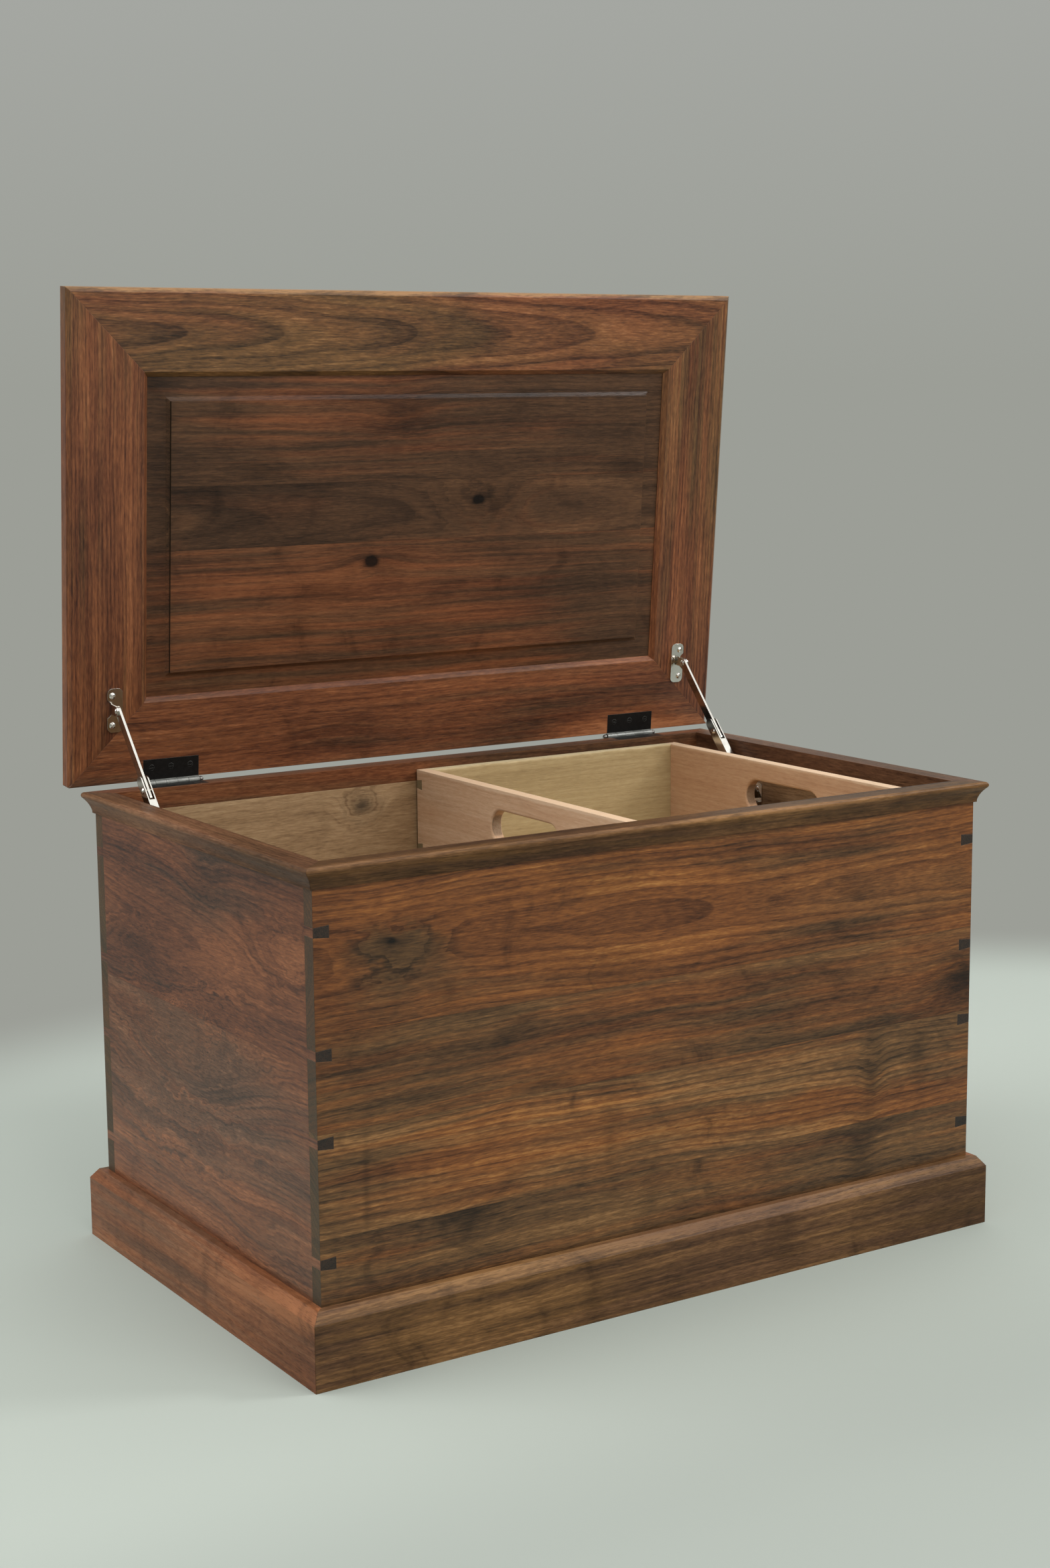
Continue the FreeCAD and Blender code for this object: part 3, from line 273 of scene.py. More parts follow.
def paint(*screen):
    """A colour written as screen values of red, green and blue from 0 to 255."""
    parts = []
    for value in screen:
        part = value / SCREEN_WHITE
        if part <= CURVE_FOOT:
            parts.append(part / CURVE_SLOPE)
        else:
            parts.append(((part + CURVE_SHIFT) / (1 + CURVE_SHIFT)) ** CURVE_POWER)
    return (*parts, 1.0)


def shades(*colours):
    """A ramp with its colours evenly spread from dark to light."""
    last = len(colours) - 1
    return [(place / last, paint(*colour)) for place, colour in enumerate(colours)]


# Wood: growth rings of a log that the board was sawn from

BROWN = shades((28, 20, 12), (59, 42, 26), (89, 64, 40), (117, 84, 51), (153, 113, 72))
GOLD = shades((37, 20, 11), (76, 43, 22), (109, 65, 34), (140, 87, 44), (175, 120, 65))
RED = shades((34, 17, 11), (73, 39, 24), (105, 61, 38), (134, 82, 51), (165, 107, 70))
PURPLE = shades((25, 17, 12), (56, 37, 27), (84, 57, 41), (110, 76, 55), (140, 102, 76))
CHOCOLATE = shades((18, 12, 9), (44, 31, 22), (68, 48, 34), (92, 65, 45), (121, 87, 60))
RAW_WALNUT = shades((80, 60, 40), (120, 92, 64), (150, 120, 86), (170, 140, 104), (190, 162, 124))
PINK_WOOD = shades((136, 96, 68), (168, 126, 94), (190, 148, 114), (204, 166, 132), (220, 188, 156))
YELLOW_WOOD = shades((112, 92, 60), (146, 124, 88), (168, 146, 106), (184, 164, 124), (208, 190, 152))
PALE_WOOD = shades((110, 86, 56), (148, 120, 84), (172, 144, 104), (188, 162, 122), (208, 186, 148))
END_GRAIN = paint(84, 78, 64)
# Paler colour of the edges: partly wear, partly a painted highlight
WORN_AND_LIT_WOOD = paint(172, 128, 90)

# Slow noise that bends the grain
WANDER = Pattern(along=2.3, across=5.0, through=5.0, warm=1.8)
RIPPLE = Pattern(along=9.0, across=22.0, through=22.0, detail=1.0)
WOBBLE = Pattern(along=38.0, across=85.0, through=30.0, fineness=0.6)

# Noise that follows the growth rings
BLOTCHES = Pattern(along=3.1, across=14.0, cut=9.0, tone=0.4)
BANDS = Pattern(along=1.6, across=36.0, detail=3.0, fineness=0.6, tone=0.95)
STREAKS = Pattern(along=2.6, across=70.0, cut=2.0, warm=1.4)
FINE_BANDS = Pattern(along=3.6, across=190.0, fineness=0.6, cut=5.0, tone=0.5, warm=0.6)

# Noise that runs along the fibres
FIBRES = Pattern(along=14.0, across=620.0, through=620.0, fineness=0.6,
                 tone=0.4, roughness=0.16, height=0.5)
FLECKS = Pattern(along=60.0, across=420.0, through=420.0, fineness=0.6, tone=0.6)
GRIT = Pattern(along=110.0, across=1000.0, through=1000.0, detail=1.0, tone=0.3)
PORES = Pattern(along=90.0, across=1300.0, through=1300.0, detail=1.0, roughness=0.12)

# Curl that crosses the grain, and specks in end grain
CURLS = Pattern(along=20.0, across=9.0, through=9.0, detail=4.0, fineness=0.6, tone=-0.6)
SPECKS = Pattern(along=300.0, across=900.0, through=900.0, detail=1.0)

# Metres along the log from one seed to the next, and from one glued strip to the next
SEED_SHIFT = 3.1
STRIP_SHIFT = 2.7

# Metres that a full ripple takes the grain aside
RIPPLE_SWAY = 0.004

# How far ripples and wobbles take a mark aside, in widths of the mark
RIPPLE_TWIST = 1.6
WOBBLE_TWIST = 1.3

# Waves of curl for each metre that the grain sways, and rings that a full band moves
CURL_SHIFT = 300.0
BAND_PHASE = 2.0

# Where a number between 0 and 1 starts to count, and where it counts in full
LATE_WOOD = (0.45, 0.95)
RING_END = (1.0, 0.95)
PORE_RANGE = (0.56, 0.72)
SMUDGE_RANGE = (0.56, 0.78)
STAIN_RANGE = (0.56, 0.8)
WARM_RANGE = (0.1, 0.9)
OUTLINE_OUTER = (0.25, 0.36)
OUTLINE_INNER = (0.52, 0.40)
RAW_FACE = (0.6, 0.9)
END_FACE = (0.72, 0.86)
SPECK_RANGE = (0.5, 0.65)

# Tones and shares between 0 and 1, and lengths in metres
MIDDLE_TONE = 0.58
DARKEST = 0.93
GLUE_HALF = 0.0004
GLUE_DARK = 0.25
RAW_SHADOW = 0.5
RAW_PORE = 0.16
RAW_DARKEST = 0.8
RAW_ROUGHNESS = 0.24
ROUGHNESS_SHIFT = 0.08
END_SHARE = 0.5
SPECK_DARK = 0.2
END_ROUGHNESS = 0.15
WOOD_EDGE = 0.0011
# How far edges are painted paler, partly as wear and partly as a painted highlight
WORN_AND_LIT_SHARE = 0.5
EDGE_WEAR_AND_HIGHLIGHT = 0.22
EDGE_ROUGHNESS = 0.1
LATE_DEPTH = 0.3


@dataclass
class Strip:
    """One glued strip of a board: where the heart of its log lies, how its rings climb, and its colour."""

    pith: float = 0.16
    below: float = 0.09
    run_out: float = 0.012
    tone: float = 0.0
    warm: float = 0.5
    contrast: float = 1.0
    rings: float = 0.08


@dataclass
class Mark:
    """A knot, stain or flame, a pale edge, a painted highlight or a painted shade: its place and size, how
    it pushes the rings, and its colour.
    """

    place: Vector
    reach: float
    wide: float
    push: float = 0.0
    dark: float = 0.0
    outline: float = 0.0
    warm: float = 0.0
    light: float = 0.0


@dataclass
class Board:
    """How a board was sawn and coloured. Lengths are in metres, tones run from 0, dark, to 1, light."""

    grain: Vector
    face: Vector
    colours: list
    second: list
    seed: float
    glue: tuple = ()
    strips: tuple = (Strip(),)
    marks: tuple = ()
    ring: float = 0.006
    meander: float = 0.016
    curl: float = 0.25
    stain: float = 0.3
    inside: Vector = None
    rough: float = 0.36
    gloss: float = 0.3
    pore_dark: float = 0.28
    end_dark: float = 0.6

    @property
    def across(self):
        return self.face.cross(self.grain)


class Log:
    """Where the points of a board lie in the log it was sawn from."""

    def __init__(self, tree, name, board):
        self.tree = tree
        self.board = board
        low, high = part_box(name)
        middle = (low + high) / 2
        point = coordinates(tree)
        length = along(tree, point, board.grain, middle.dot(board.grain))
        self.width = along(tree, point, board.across, middle.dot(board.across))
        self.depth = along(tree, point, board.face, middle.dot(board.face))

        # Each glued strip comes from another piece of a log
        self.level = along(tree, point, board.across)
        self.gates = [self.level.math("GREATER_THAN", glue) for glue in board.glue]
        self.place = sum([gate * STRIP_SHIFT for gate in self.gates], length + board.seed * SEED_SHIFT)

        # The grain meanders, and marks push it aside
        wander_across, wander_depth, self.wander = split(tree, self.body(WANDER, output="Color"))
        ripple = self.body(RIPPLE)
        wobble = self.body(WOBBLE)
        self.sway = swing(wander_across, board.meander) + swing(ripple, RIPPLE_SWAY)
        self.across = self.width + self.sway - self.of_strip("pith")
        climb = self.depth + length * self.of_strip("run_out")
        self.under = climb + swing(wander_depth, board.meander) + self.of_strip("below")
        self.add_marks(point, swing(ripple, RIPPLE_TWIST) + swing(wobble, WOBBLE_TWIST))
        radius = (self.across.squared() + self.under.squared()).math("SQRT")
        self.radius = sum(self.push, radius)

    def of_strip(self, field):
        """A number that changes from strip to strip."""
        numbers = [getattr(strip, field) for strip in self.board.strips]
        total = numbers[0]
        for gate, before, after in zip(self.gates, numbers, numbers[1:]):
            total = gate * (after - before) + total
        return total

    def add_marks(self, point, twist):
        """Collect what marks do: how far they push the rings out, and how dark, warm and light they are."""
        self.push = []
        self.dark = []
        self.warm = []
        self.light = []
        for mark in self.board.marks:
            start = mark.place.dot(self.board.grain)
            away_along = (along(self.tree, point, self.board.grain, start) / mark.reach).squared()
            aside = along(self.tree, point, self.board.across, mark.place.dot(self.board.across))
            away_across = (aside / mark.wide + twist).squared()
            near = ((away_along + away_across) * -1.0).math("EXPONENT")
            if mark.push:
                self.push.append(near * mark.push)
            if mark.dark:
                self.dark.append(near * mark.dark)
            if mark.outline:
                self.dark.append(near.step(*OUTLINE_OUTER) * near.step(*OUTLINE_INNER) * mark.outline)
            if mark.warm:
                self.warm.append(near * mark.warm)
            if mark.light:
                self.light.append(near * mark.light)

    def body(self, pattern, **more):
        """Noise in the board's own directions."""
        return waves(self.tree, pattern, self.place, self.width, self.depth, **more)

    def rings(self, pattern):
        """Noise that follows the growth rings."""
        return waves(self.tree, pattern, self.place, self.radius, self.board.seed + pattern.cut)

    def fibres(self, pattern):
        """Noise that runs along the fibres."""
        return waves(self.tree, pattern, self.place, self.across, self.under)


def wood(name, board):
    material, tree = new_tree(name)
    log = Log(tree, name, board)
    normal = coordinates(tree, "Normal")

    # Bands of colour follow the rings, and fibres, flecks and pores run along them
    blotch = log.rings(BLOTCHES)
    bands = log.rings(BANDS)
    fine_bands = log.rings(FINE_BANDS)
    streak = log.rings(STREAKS)
    ring = (log.radius / board.ring + swing(bands, BAND_PHASE)).math("FRACT")
    late = ring.step(*LATE_WOOD) * ring.step(*RING_END)
    fibre = log.fibres(FIBRES)
    fleck = log.fibres(FLECKS)
    grit = log.fibres(GRIT)
    pore = log.fibres(PORES).step(*PORE_RANGE)
    curls = log.body(CURLS, shift=log.sway * CURL_SHIFT)

    # One tone from dark to light, read in two palettes
    tone = swing(blotch, BLOTCHES.tone) + swing(bands, BANDS.tone) + swing(fine_bands, FINE_BANDS.tone)
    tone = tone + swing(fibre, FIBRES.tone) + swing(fleck, FLECKS.tone) + swing(grit, GRIT.tone)
    tone = tone + swing(curls, CURLS.tone * board.curl) - late * log.of_strip("rings")
    tone = tone * log.of_strip("contrast") + log.of_strip("tone") + MIDDLE_TONE
    tone = sum(log.light, tone)
    warmth = swing(log.wander, WANDER.warm) + swing(streak, STREAKS.warm)
    warmth = warmth + swing(fine_bands, FINE_BANDS.warm) + log.of_strip("warm")
    warmth = sum(log.warm, warmth)
    colour = blend(tree, warmth.step(*WARM_RANGE), tone.ramp(board.colours), tone.ramp(board.second))

    # Stains, smudges, dark marks, glue lines and pores
    shadow = blotch.step(*STAIN_RANGE) * board.stain + curls.step(*SMUDGE_RANGE) * board.curl
    shadow = sum(log.dark, shadow)
    for glue in board.glue:
        shadow = shadow + (log.level - glue).math("ABSOLUTE").math("LESS_THAN", GLUE_HALF) * GLUE_DARK
    colour = darken(tree, colour, (shadow + pore * board.pore_dark).math("MINIMUM", DARKEST))

    # Raw wood on the inner face, dark end grain across the fibres
    roughness = fibre * FIBRES.roughness + pore * PORES.roughness + (board.rough - ROUGHNESS_SHIFT)
    if board.inside is not None:
        raw = along(tree, normal, board.inside).step(*RAW_FACE)
        raw_shadow = (shadow * RAW_SHADOW + pore * RAW_PORE).math("MINIMUM", RAW_DARKEST)
        colour = blend(tree, raw, colour, darken(tree, tone.ramp(RAW_WALNUT), raw_shadow))
        roughness = roughness + raw * RAW_ROUGHNESS
    end = along(tree, normal, board.grain).math("ABSOLUTE").step(*END_FACE)
    speck = log.body(SPECKS).step(*SPECK_RANGE)
    sawn_across = blend(tree, END_SHARE, colour, END_GRAIN)
    colour = blend(tree, end, colour, darken(tree, sawn_across, speck * SPECK_DARK + board.end_dark))

    # Edges are eased, and painted paler along them: partly a little wear, partly a painted highlight
    soft = rounded(tree, WOOD_EDGE)
    edge = edges(tree, soft)
    worn_and_lit = blend(tree, WORN_AND_LIT_SHARE, colour, WORN_AND_LIT_WOOD, "SCREEN")
    colour = blend(tree, edge * EDGE_WEAR_AND_HIGHLIGHT, colour, worn_and_lit)
    roughness = roughness + edge * EDGE_ROUGHNESS + end * END_ROUGHNESS
    height = fibre * FIBRES.height - pore - late * LATE_DEPTH
    surface = bumped(tree, height, soft, strength=0.22, distance=0.0004)
    finish_material(tree, colour, roughness, surface, Specular_IOR_Level=board.gloss)
    return material


# Strips and marks of the boards, as the photo shows them

FRONT_GLUE = (0.159, 0.274, 0.380)
FRONT_STRIPS = (
    Strip(pith=-0.36, below=0.12, run_out=0.010, tone=-0.02, warm=0.24, contrast=1.2),
    Strip(pith=-0.30, below=0.16, tone=0.10, warm=0.36, contrast=1.1, rings=0.2),
    Strip(pith=0.24, below=0.10, tone=-0.05, warm=0.42, contrast=1.1),
    Strip(pith=0.145, below=0.055, run_out=-0.014, tone=-0.02, warm=0.78, contrast=1.05, rings=0.17),
)
FRONT_MARKS = (
    # The knot at the upper left with its olive halo, dark heart and two flames
    Mark(on_front(-0.362, 0.460), reach=0.060, wide=0.024, push=0.014, dark=0.2, outline=0.2, warm=-0.4),
    Mark(on_front(-0.360, 0.445), reach=0.110, wide=0.045, warm=-0.6),
    Mark(on_front(-0.380, 0.512), reach=0.070, wide=0.014, warm=0.4, light=0.16),
    Mark(on_front(-0.180, 0.520), reach=0.030, wide=0.020, warm=0.4, light=0.10),
    Mark(on_front(-0.364, 0.468), reach=0.020, wide=0.011, dark=0.3),
    Mark(on_front(-0.364, 0.469), reach=0.006, wide=0.004, dark=0.6),
    # Dark patches, a warm one, and smudges across the grain
    Mark(on_front(-0.295, 0.405), reach=0.012, wide=0.016, dark=0.3),
    Mark(on_front(0.446, 0.318), reach=0.045, wide=0.024, push=0.025, dark=0.85),
    Mark(on_front(-0.170, 0.284), reach=0.050, wide=0.009, push=0.006, dark=0.4),
    Mark(on_front(0.300, 0.215), reach=0.018, wide=0.045, push=0.008, dark=0.5),
    Mark(on_front(0.375, 0.225), reach=0.014, wide=0.045, dark=0.4),
    Mark(on_front(0.215, 0.200), reach=0.050, wide=0.030, warm=0.4),
    Mark(on_front(-0.085, 0.215), reach=0.012, wide=0.070, dark=0.22),
    Mark(on_front(-0.400, 0.215), reach=0.004, wide=0.060, dark=0.3),
    Mark(on_front(0.285, 0.125), reach=0.024, wide=0.040, push=0.006, dark=0.45),
    Mark(on_front(-0.030, 0.120), reach=0.018, wide=0.040, dark=0.22),
    # Slow changes of colour along the strips
    Mark(on_front(0.330, 0.235), reach=0.150, wide=0.045, warm=-0.5, light=-0.10),
    Mark(on_front(-0.120, 0.215), reach=0.280, wide=0.040, warm=0.2, light=0.07),
    Mark(on_front(-0.320, 0.500), reach=0.120, wide=0.050, warm=0.25),
)
SIDE_STRIPS = (
    Strip(pith=-0.40, below=0.10, run_out=0.03, tone=0.035, rings=0.12),
    Strip(pith=0.115, below=0.060, run_out=0.04, tone=-0.055, warm=0.8, rings=0.14),
)
LEFT_MARKS = (
    Mark(on_left(-0.240, 0.450), reach=0.100, wide=0.028, push=0.030, outline=0.2, warm=1.0, light=0.20),
    Mark(on_left(0.173, 0.397), reach=0.070, wide=0.020, push=0.020, dark=0.3),
    Mark(on_left(-0.030, 0.510), reach=0.060, wide=0.030, push=0.012, dark=0.3),
    Mark(on_left(0.030, 0.265), reach=0.180, wide=0.070, push=0.070),
    Mark(on_left(-0.066, 0.267), reach=0.025, wide=0.014, dark=0.3),
    Mark(on_left(-0.150, 0.120), reach=0.120, wide=0.040, push=0.020),
)
BACK_KNOT = Vector((-0.098, BACK_INSIDE, 0.512))
BACK_MARKS = (
    Mark(BACK_KNOT, reach=0.030, wide=0.022, push=0.030, dark=0.3, outline=0.25),
    Mark(BACK_KNOT, reach=0.013, wide=0.010, dark=1.3),
)
PLINTH_FRONT_MARKS = (
    # A painted highlight along the chamfer, and below it dark patches and a warm one
    Mark(on_front(0.250, 0.086), reach=0.700, wide=0.0085, light=0.22),
    Mark(on_front(0.420, 0.040), reach=0.130, wide=0.080, dark=0.4),
    Mark(on_front(-0.120, 0.030), reach=0.012, wide=0.060, dark=0.25),
    Mark(on_front(0.150, 0.050), reach=0.020, wide=0.060, dark=0.25),
    Mark(on_front(-0.300, 0.045), reach=0.160, wide=0.060, warm=0.5, light=0.07),
)
PLINTH_LEFT_MARKS = (
    # A dark front corner with a red flame above it, and narrow smudges across the grain
    Mark(on_left(-0.300, 0.030), reach=0.100, wide=0.050, dark=0.42),
    Mark(on_left(-0.270, 0.075), reach=0.070, wide=0.014, push=0.010, warm=-1.0, light=0.25),
    Mark(on_left(0.130, 0.040), reach=0.006, wide=0.060, dark=0.2),
    Mark(on_left(0.210, 0.040), reach=0.006, wide=0.060, dark=0.15),
    Mark(on_left(-0.040, 0.040), reach=0.008, wide=0.060, dark=0.2),
)
LOW_KNOT = on_lid(-0.070, 0.262)
HIGH_KNOT = on_lid(0.088, 0.337)
PANEL_GLUE = (lid_level(0.288), lid_level(0.365))
PANEL_STRIPS = (
    Strip(pith=0.30, below=0.12, tone=0.02, warm=0.4, contrast=0.75),
    Strip(pith=0.02, below=0.06, run_out=0.02, tone=0.02, warm=0.15, contrast=0.8, rings=0.14),
    Strip(pith=-0.20, below=0.10, tone=0.01, warm=0.2, contrast=0.8),
)
PANEL_MARKS = (
    Mark(LOW_KNOT, reach=0.050, wide=0.020, push=0.012, dark=0.28),
    Mark(LOW_KNOT, reach=0.009, wide=0.007, dark=1.5),
    Mark(HIGH_KNOT, reach=0.070, wide=0.028, push=0.016, dark=0.32),
    Mark(HIGH_KNOT, reach=0.008, wide=0.006, dark=1.5),
    # Dark stains
    Mark(on_lid(-0.229, 0.379), reach=0.030, wide=0.014, dark=0.4),
    Mark(on_lid(-0.310, 0.354), reach=0.040, wide=0.016, dark=0.3),
    Mark(on_lid(-0.035, 0.450), reach=0.050, wide=0.030, push=0.010, dark=0.45),
    Mark(on_lid(0.320, 0.371), reach=0.045, wide=0.012, dark=0.4),
    # Painted shade: the left border and its upper corner are darkened, and so is the step above the raised
    # field
    Mark(on_lid(-0.368, 0.330), reach=0.022, wide=0.220, dark=0.35),
    Mark(on_lid(-0.365, 0.495), reach=0.030, wide=0.016, dark=0.35),
    Mark(on_lid(0.000, 0.4715), reach=0.320, wide=0.004, dark=0.4),
)
LOW_RAIL_MARKS = (
    Mark(on_lid(0.340, 0.010), reach=0.110, wide=0.018, warm=-0.9, light=0.45),
    Mark(on_lid(-0.120, 0.050), reach=0.080, wide=0.020, push=0.010, dark=0.25),
)

# Pale lines along edges: painted highlights along the lid's upper edge and the noses of the rim, and a
# paler top edge on the tray
LID_EDGE_HIGHLIGHT = (Mark(on_lid(0.000, 0.6016), reach=1.2, wide=0.0035, warm=-0.9, light=0.4),)
NOSE_HIGHLIGHT = (Mark(Vector((0.0, NOSE.y, NOSE.z)), reach=1.2, wide=0.007, light=0.28),)
LEFT_NOSE_HIGHLIGHT = (Mark(LEFT_NOSE, reach=1.2, wide=0.007, light=0.20),)
TRAY_EDGE = (Mark(TRAY_TOP, reach=4.0, wide=0.0028, light=0.5),)

QUARTER_SAWN = (Strip(pith=0.20, below=0.02, run_out=0.0, warm=0.3, contrast=1.1, rings=0.15),)
FLAT_SAWN = (Strip(pith=0.0, below=0.05, run_out=0.04, tone=0.06, warm=0.45, contrast=1.3, rings=0.16),)
LOW_RAIL = (Strip(tone=-0.01, warm=0.3, contrast=1.1),)
TRAY_SHADE = (Strip(contrast=0.65),)
# Painted light: the tray's left end is made lighter than the other ends to make up for the shade it stands
# in
TRAY_LEFT_PAINTED_LIGHT = (Strip(tone=0.22, contrast=0.65),)
TRAY_BACK_SHADE = (Strip(tone=-0.05, contrast=0.65),)

SIDE = dict(glue=(0.34,), strips=SIDE_STRIPS, meander=0.030, gloss=0.4, end_dark=0.75)
PLINTH = dict(stain=0.45, curl=0.4, gloss=0.15)
PLINTH_LONG = dict(PLINTH, strips=(Strip(tone=0.17, warm=0.25),))
PLINTH_SHORT = dict(PLINTH, strips=(Strip(tone=0.20, warm=0.3, contrast=0.8),))
RIM_LONG = dict(strips=(Strip(tone=0.01),), curl=0.2, gloss=0.1)
RIM_SHORT = dict(strips=(Strip(tone=0.13),), curl=0.2, gloss=0.1)
STILE = dict(strips=QUARTER_SAWN, ring=0.005)
PLAIN = dict(rough=0.55, strips=(Strip(contrast=0.8),), curl=0.1, end_dark=0.3)
TRAY = dict(rough=0.5, stain=0.12, curl=0.08, pore_dark=0.1, end_dark=0.04)

BOARDS = {
    "front_board": Board(X, -Y, BROWN, GOLD, seed=3.0, inside=Y, glue=FRONT_GLUE, strips=FRONT_STRIPS,
                         marks=FRONT_MARKS, meander=0.028, curl=0.38, end_dark=0.3),
    "back_board": Board(-X, Y, BROWN, GOLD, seed=11.0, inside=-Y, marks=BACK_MARKS, end_dark=0.3),
    "left_side": Board(-Y, -X, PURPLE, RED, seed=7.0, inside=X, marks=LEFT_MARKS, **SIDE),
    "right_side": Board(Y, X, PURPLE, RED, seed=8.0, inside=-X, **SIDE),
    "base_front": Board(X, -Y, CHOCOLATE, BROWN, seed=21.0, marks=PLINTH_FRONT_MARKS, **PLINTH_LONG),
    "base_back": Board(-X, Y, CHOCOLATE, BROWN, seed=22.0, **PLINTH_LONG),
    "base_left": Board(-Y, -X, RED, PURPLE, seed=23.0, marks=PLINTH_LEFT_MARKS, **PLINTH_SHORT),
    "base_right": Board(Y, X, RED, PURPLE, seed=24.0, **PLINTH_SHORT),
    "top_frame_front": Board(X, Z, BROWN, CHOCOLATE, seed=31.0, marks=NOSE_HIGHLIGHT, **RIM_LONG),
    "top_frame_back": Board(X, Z, RED, CHOCOLATE, seed=32.0, **RIM_LONG),
    "top_frame_left": Board(Y, Z, PURPLE, CHOCOLATE, seed=33.0, marks=LEFT_NOSE_HIGHLIGHT, **RIM_SHORT),
    "top_frame_right": Board(Y, Z, PURPLE, CHOCOLATE, seed=34.0, **RIM_SHORT),
    "lid_front_rail": Board(X, LID_OUT, BROWN, RED, seed=41.0, strips=FLAT_SAWN, marks=LID_EDGE_HIGHLIGHT),
    "lid_back_rail": Board(X, LID_OUT, RED, CHOCOLATE, seed=42.0, strips=LOW_RAIL, marks=LOW_RAIL_MARKS),
    "lid_left_stile": Board(LID_UP, LID_OUT, RED, BROWN, seed=43.0, meander=0.006, curl=0.1, **STILE),
    "lid_right_stile": Board(LID_UP, LID_OUT, RED, BROWN, seed=44.0, meander=0.012, curl=0.15, **STILE),
    "lid_panel": Board(X, LID_OUT, CHOCOLATE, RED, seed=51.0, glue=PANEL_GLUE, strips=PANEL_STRIPS,
                       marks=PANEL_MARKS, curl=0.35, stain=0.5, gloss=0.17),
    "bottom_board": Board(X, Z, PALE_WOOD, PALE_WOOD, seed=61.0, **PLAIN),
    "tray_runner_front": Board(X, Z, PALE_WOOD, PALE_WOOD, seed=62.0, **PLAIN),
    "tray_runner_back": Board(X, Z, PALE_WOOD, PALE_WOOD, seed=63.0, **PLAIN),
    "tray_left_end": Board(-Y, -X, PINK_WOOD, PINK_WOOD, seed=71.0, strips=TRAY_LEFT_PAINTED_LIGHT,
                           marks=TRAY_EDGE, **TRAY),
    "tray_right_end": Board(Y, -X, PINK_WOOD, PINK_WOOD, seed=72.0, strips=TRAY_SHADE,
                            marks=TRAY_EDGE, **TRAY),
    "tray_front": Board(X, -Y, YELLOW_WOOD, PINK_WOOD, seed=73.0, strips=TRAY_SHADE,
                        marks=TRAY_EDGE, **TRAY),
    "tray_back": Board(X, -Y, YELLOW_WOOD, YELLOW_WOOD, seed=74.0, strips=TRAY_BACK_SHADE,
                       marks=TRAY_EDGE, **TRAY),
    "tray_bottom": Board(X, Z, YELLOW_WOOD, PALE_WOOD, seed=75.0, strips=TRAY_SHADE, **TRAY),
}


# Metals

NICKEL = shades((178, 174, 166), (212, 208, 200), (226, 223, 216))
NICKEL_ROUGHNESS = 0.04
SMEARS = Pattern(along=60.0, across=60.0, through=60.0, detail=3.0, fineness=0.6, roughness=0.14)
SCRATCHES = Pattern(along=900.0, across=2600.0, through=120.0, roughness=0.08)

BLACKENED = shades((12, 11, 11), (22, 21, 20), (34, 32, 31))
RUBBED = shades((104, 105, 102), (142, 143, 139), (172, 173, 168))
BLACK_ROUGHNESS = 0.36
MOTTLE = Pattern(along=220.0, across=220.0, through=220.0, detail=3.0, fineness=0.6, roughness=0.2)

# Metres from the hinge's axis, from none of the barrel to all of it
BARREL = (0.0052, 0.0042)

# How far wear takes the black to grey, on edges, on the barrel and at most, and how smooth it gets
EDGE_RUB = 0.5
BARREL_RUB = 0.8
MOST_RUB = 0.9
RUB_SHINE = 0.1

STEEL = shades((92, 91, 89), (130, 128, 125), (160, 158, 155))
STEEL_ROUGHNESS = 0.22
STEEL_MOTTLE = Pattern(along=300.0, across=120.0, through=120.0, detail=3.0, fineness=0.6, roughness=0.2)


def nickel(name):
    """Polished plate with faint smears and hairline scratches."""
    material, tree = new_tree(name)
    place = split(tree, coordinates(tree))
    smear = waves(tree, SMEARS, *place)
    scratch = waves(tree, SCRATCHES, *place)
    roughness = smear * SMEARS.roughness + scratch * SCRATCHES.roughness + NICKEL_ROUGHNESS
    surface = bumped(tree, scratch, rounded(tree, radius=0.0004), strength=0.08, distance=0.0001)
    finish_material(tree, smear.ramp(NICKEL), roughness, surface, Metallic=1.0)
    return material


def black_metal(name):
    """Blackened hinge metal, rubbed to grey on the knuckles and edges."""
    material, tree = new_tree(name)
    x, y, z = split(tree, coordinates(tree))
    from_axis = ((y - HINGE.y).squared() + (z - HINGE.z).squared()).math("SQRT")
    barrel = from_axis.step(*BARREL)
    mottle = waves(tree, MOTTLE, x, y, z)
    soft = rounded(tree, radius=0.0005)
    rubbed = (edges(tree, soft) * EDGE_RUB + barrel * BARREL_RUB).math("MINIMUM", MOST_RUB)
    colour = blend(tree, rubbed, mottle.ramp(BLACKENED), mottle.ramp(RUBBED))
    roughness = mottle * MOTTLE.roughness - rubbed * RUB_SHINE + BLACK_ROUGHNESS
    surface = bumped(tree, mottle, soft, strength=0.15, distance=0.0002)
    finish_material(tree, colour, roughness, surface, Metallic=0.6)
    return material


def dark_steel(name):
    """Darkened steel of the hinge pins."""
    material, tree = new_tree(name)
    mottle = waves(tree, STEEL_MOTTLE, *split(tree, coordinates(tree)))
    roughness = mottle * STEEL_MOTTLE.roughness + STEEL_ROUGHNESS
    surface = bumped(tree, mottle, rounded(tree, radius=0.0004), strength=0.1, distance=0.0002)
    finish_material(tree, mottle.ramp(STEEL), roughness, surface, Metallic=1.0)
    return material


METALS = {"nickel": nickel, "hinge_black": black_metal, "hinge_pin_steel": dark_steel}


def dress():
    """Give every CAD node its finish."""
    metals = {slot: make(slot) for slot, make in METALS.items()}
    slots = {part["node"]: part["material_slot"] for part in frame["record"]["subparts"]}
    for name, node in frame["nodes"].items():
        material = wood(name, BOARDS[name]) if name in BOARDS else metals[slots[name]]
        if not node.material_slots:
            node.data.materials.append(material)
        for slot in node.material_slots:
            slot.material = material


# Stage, light and camera

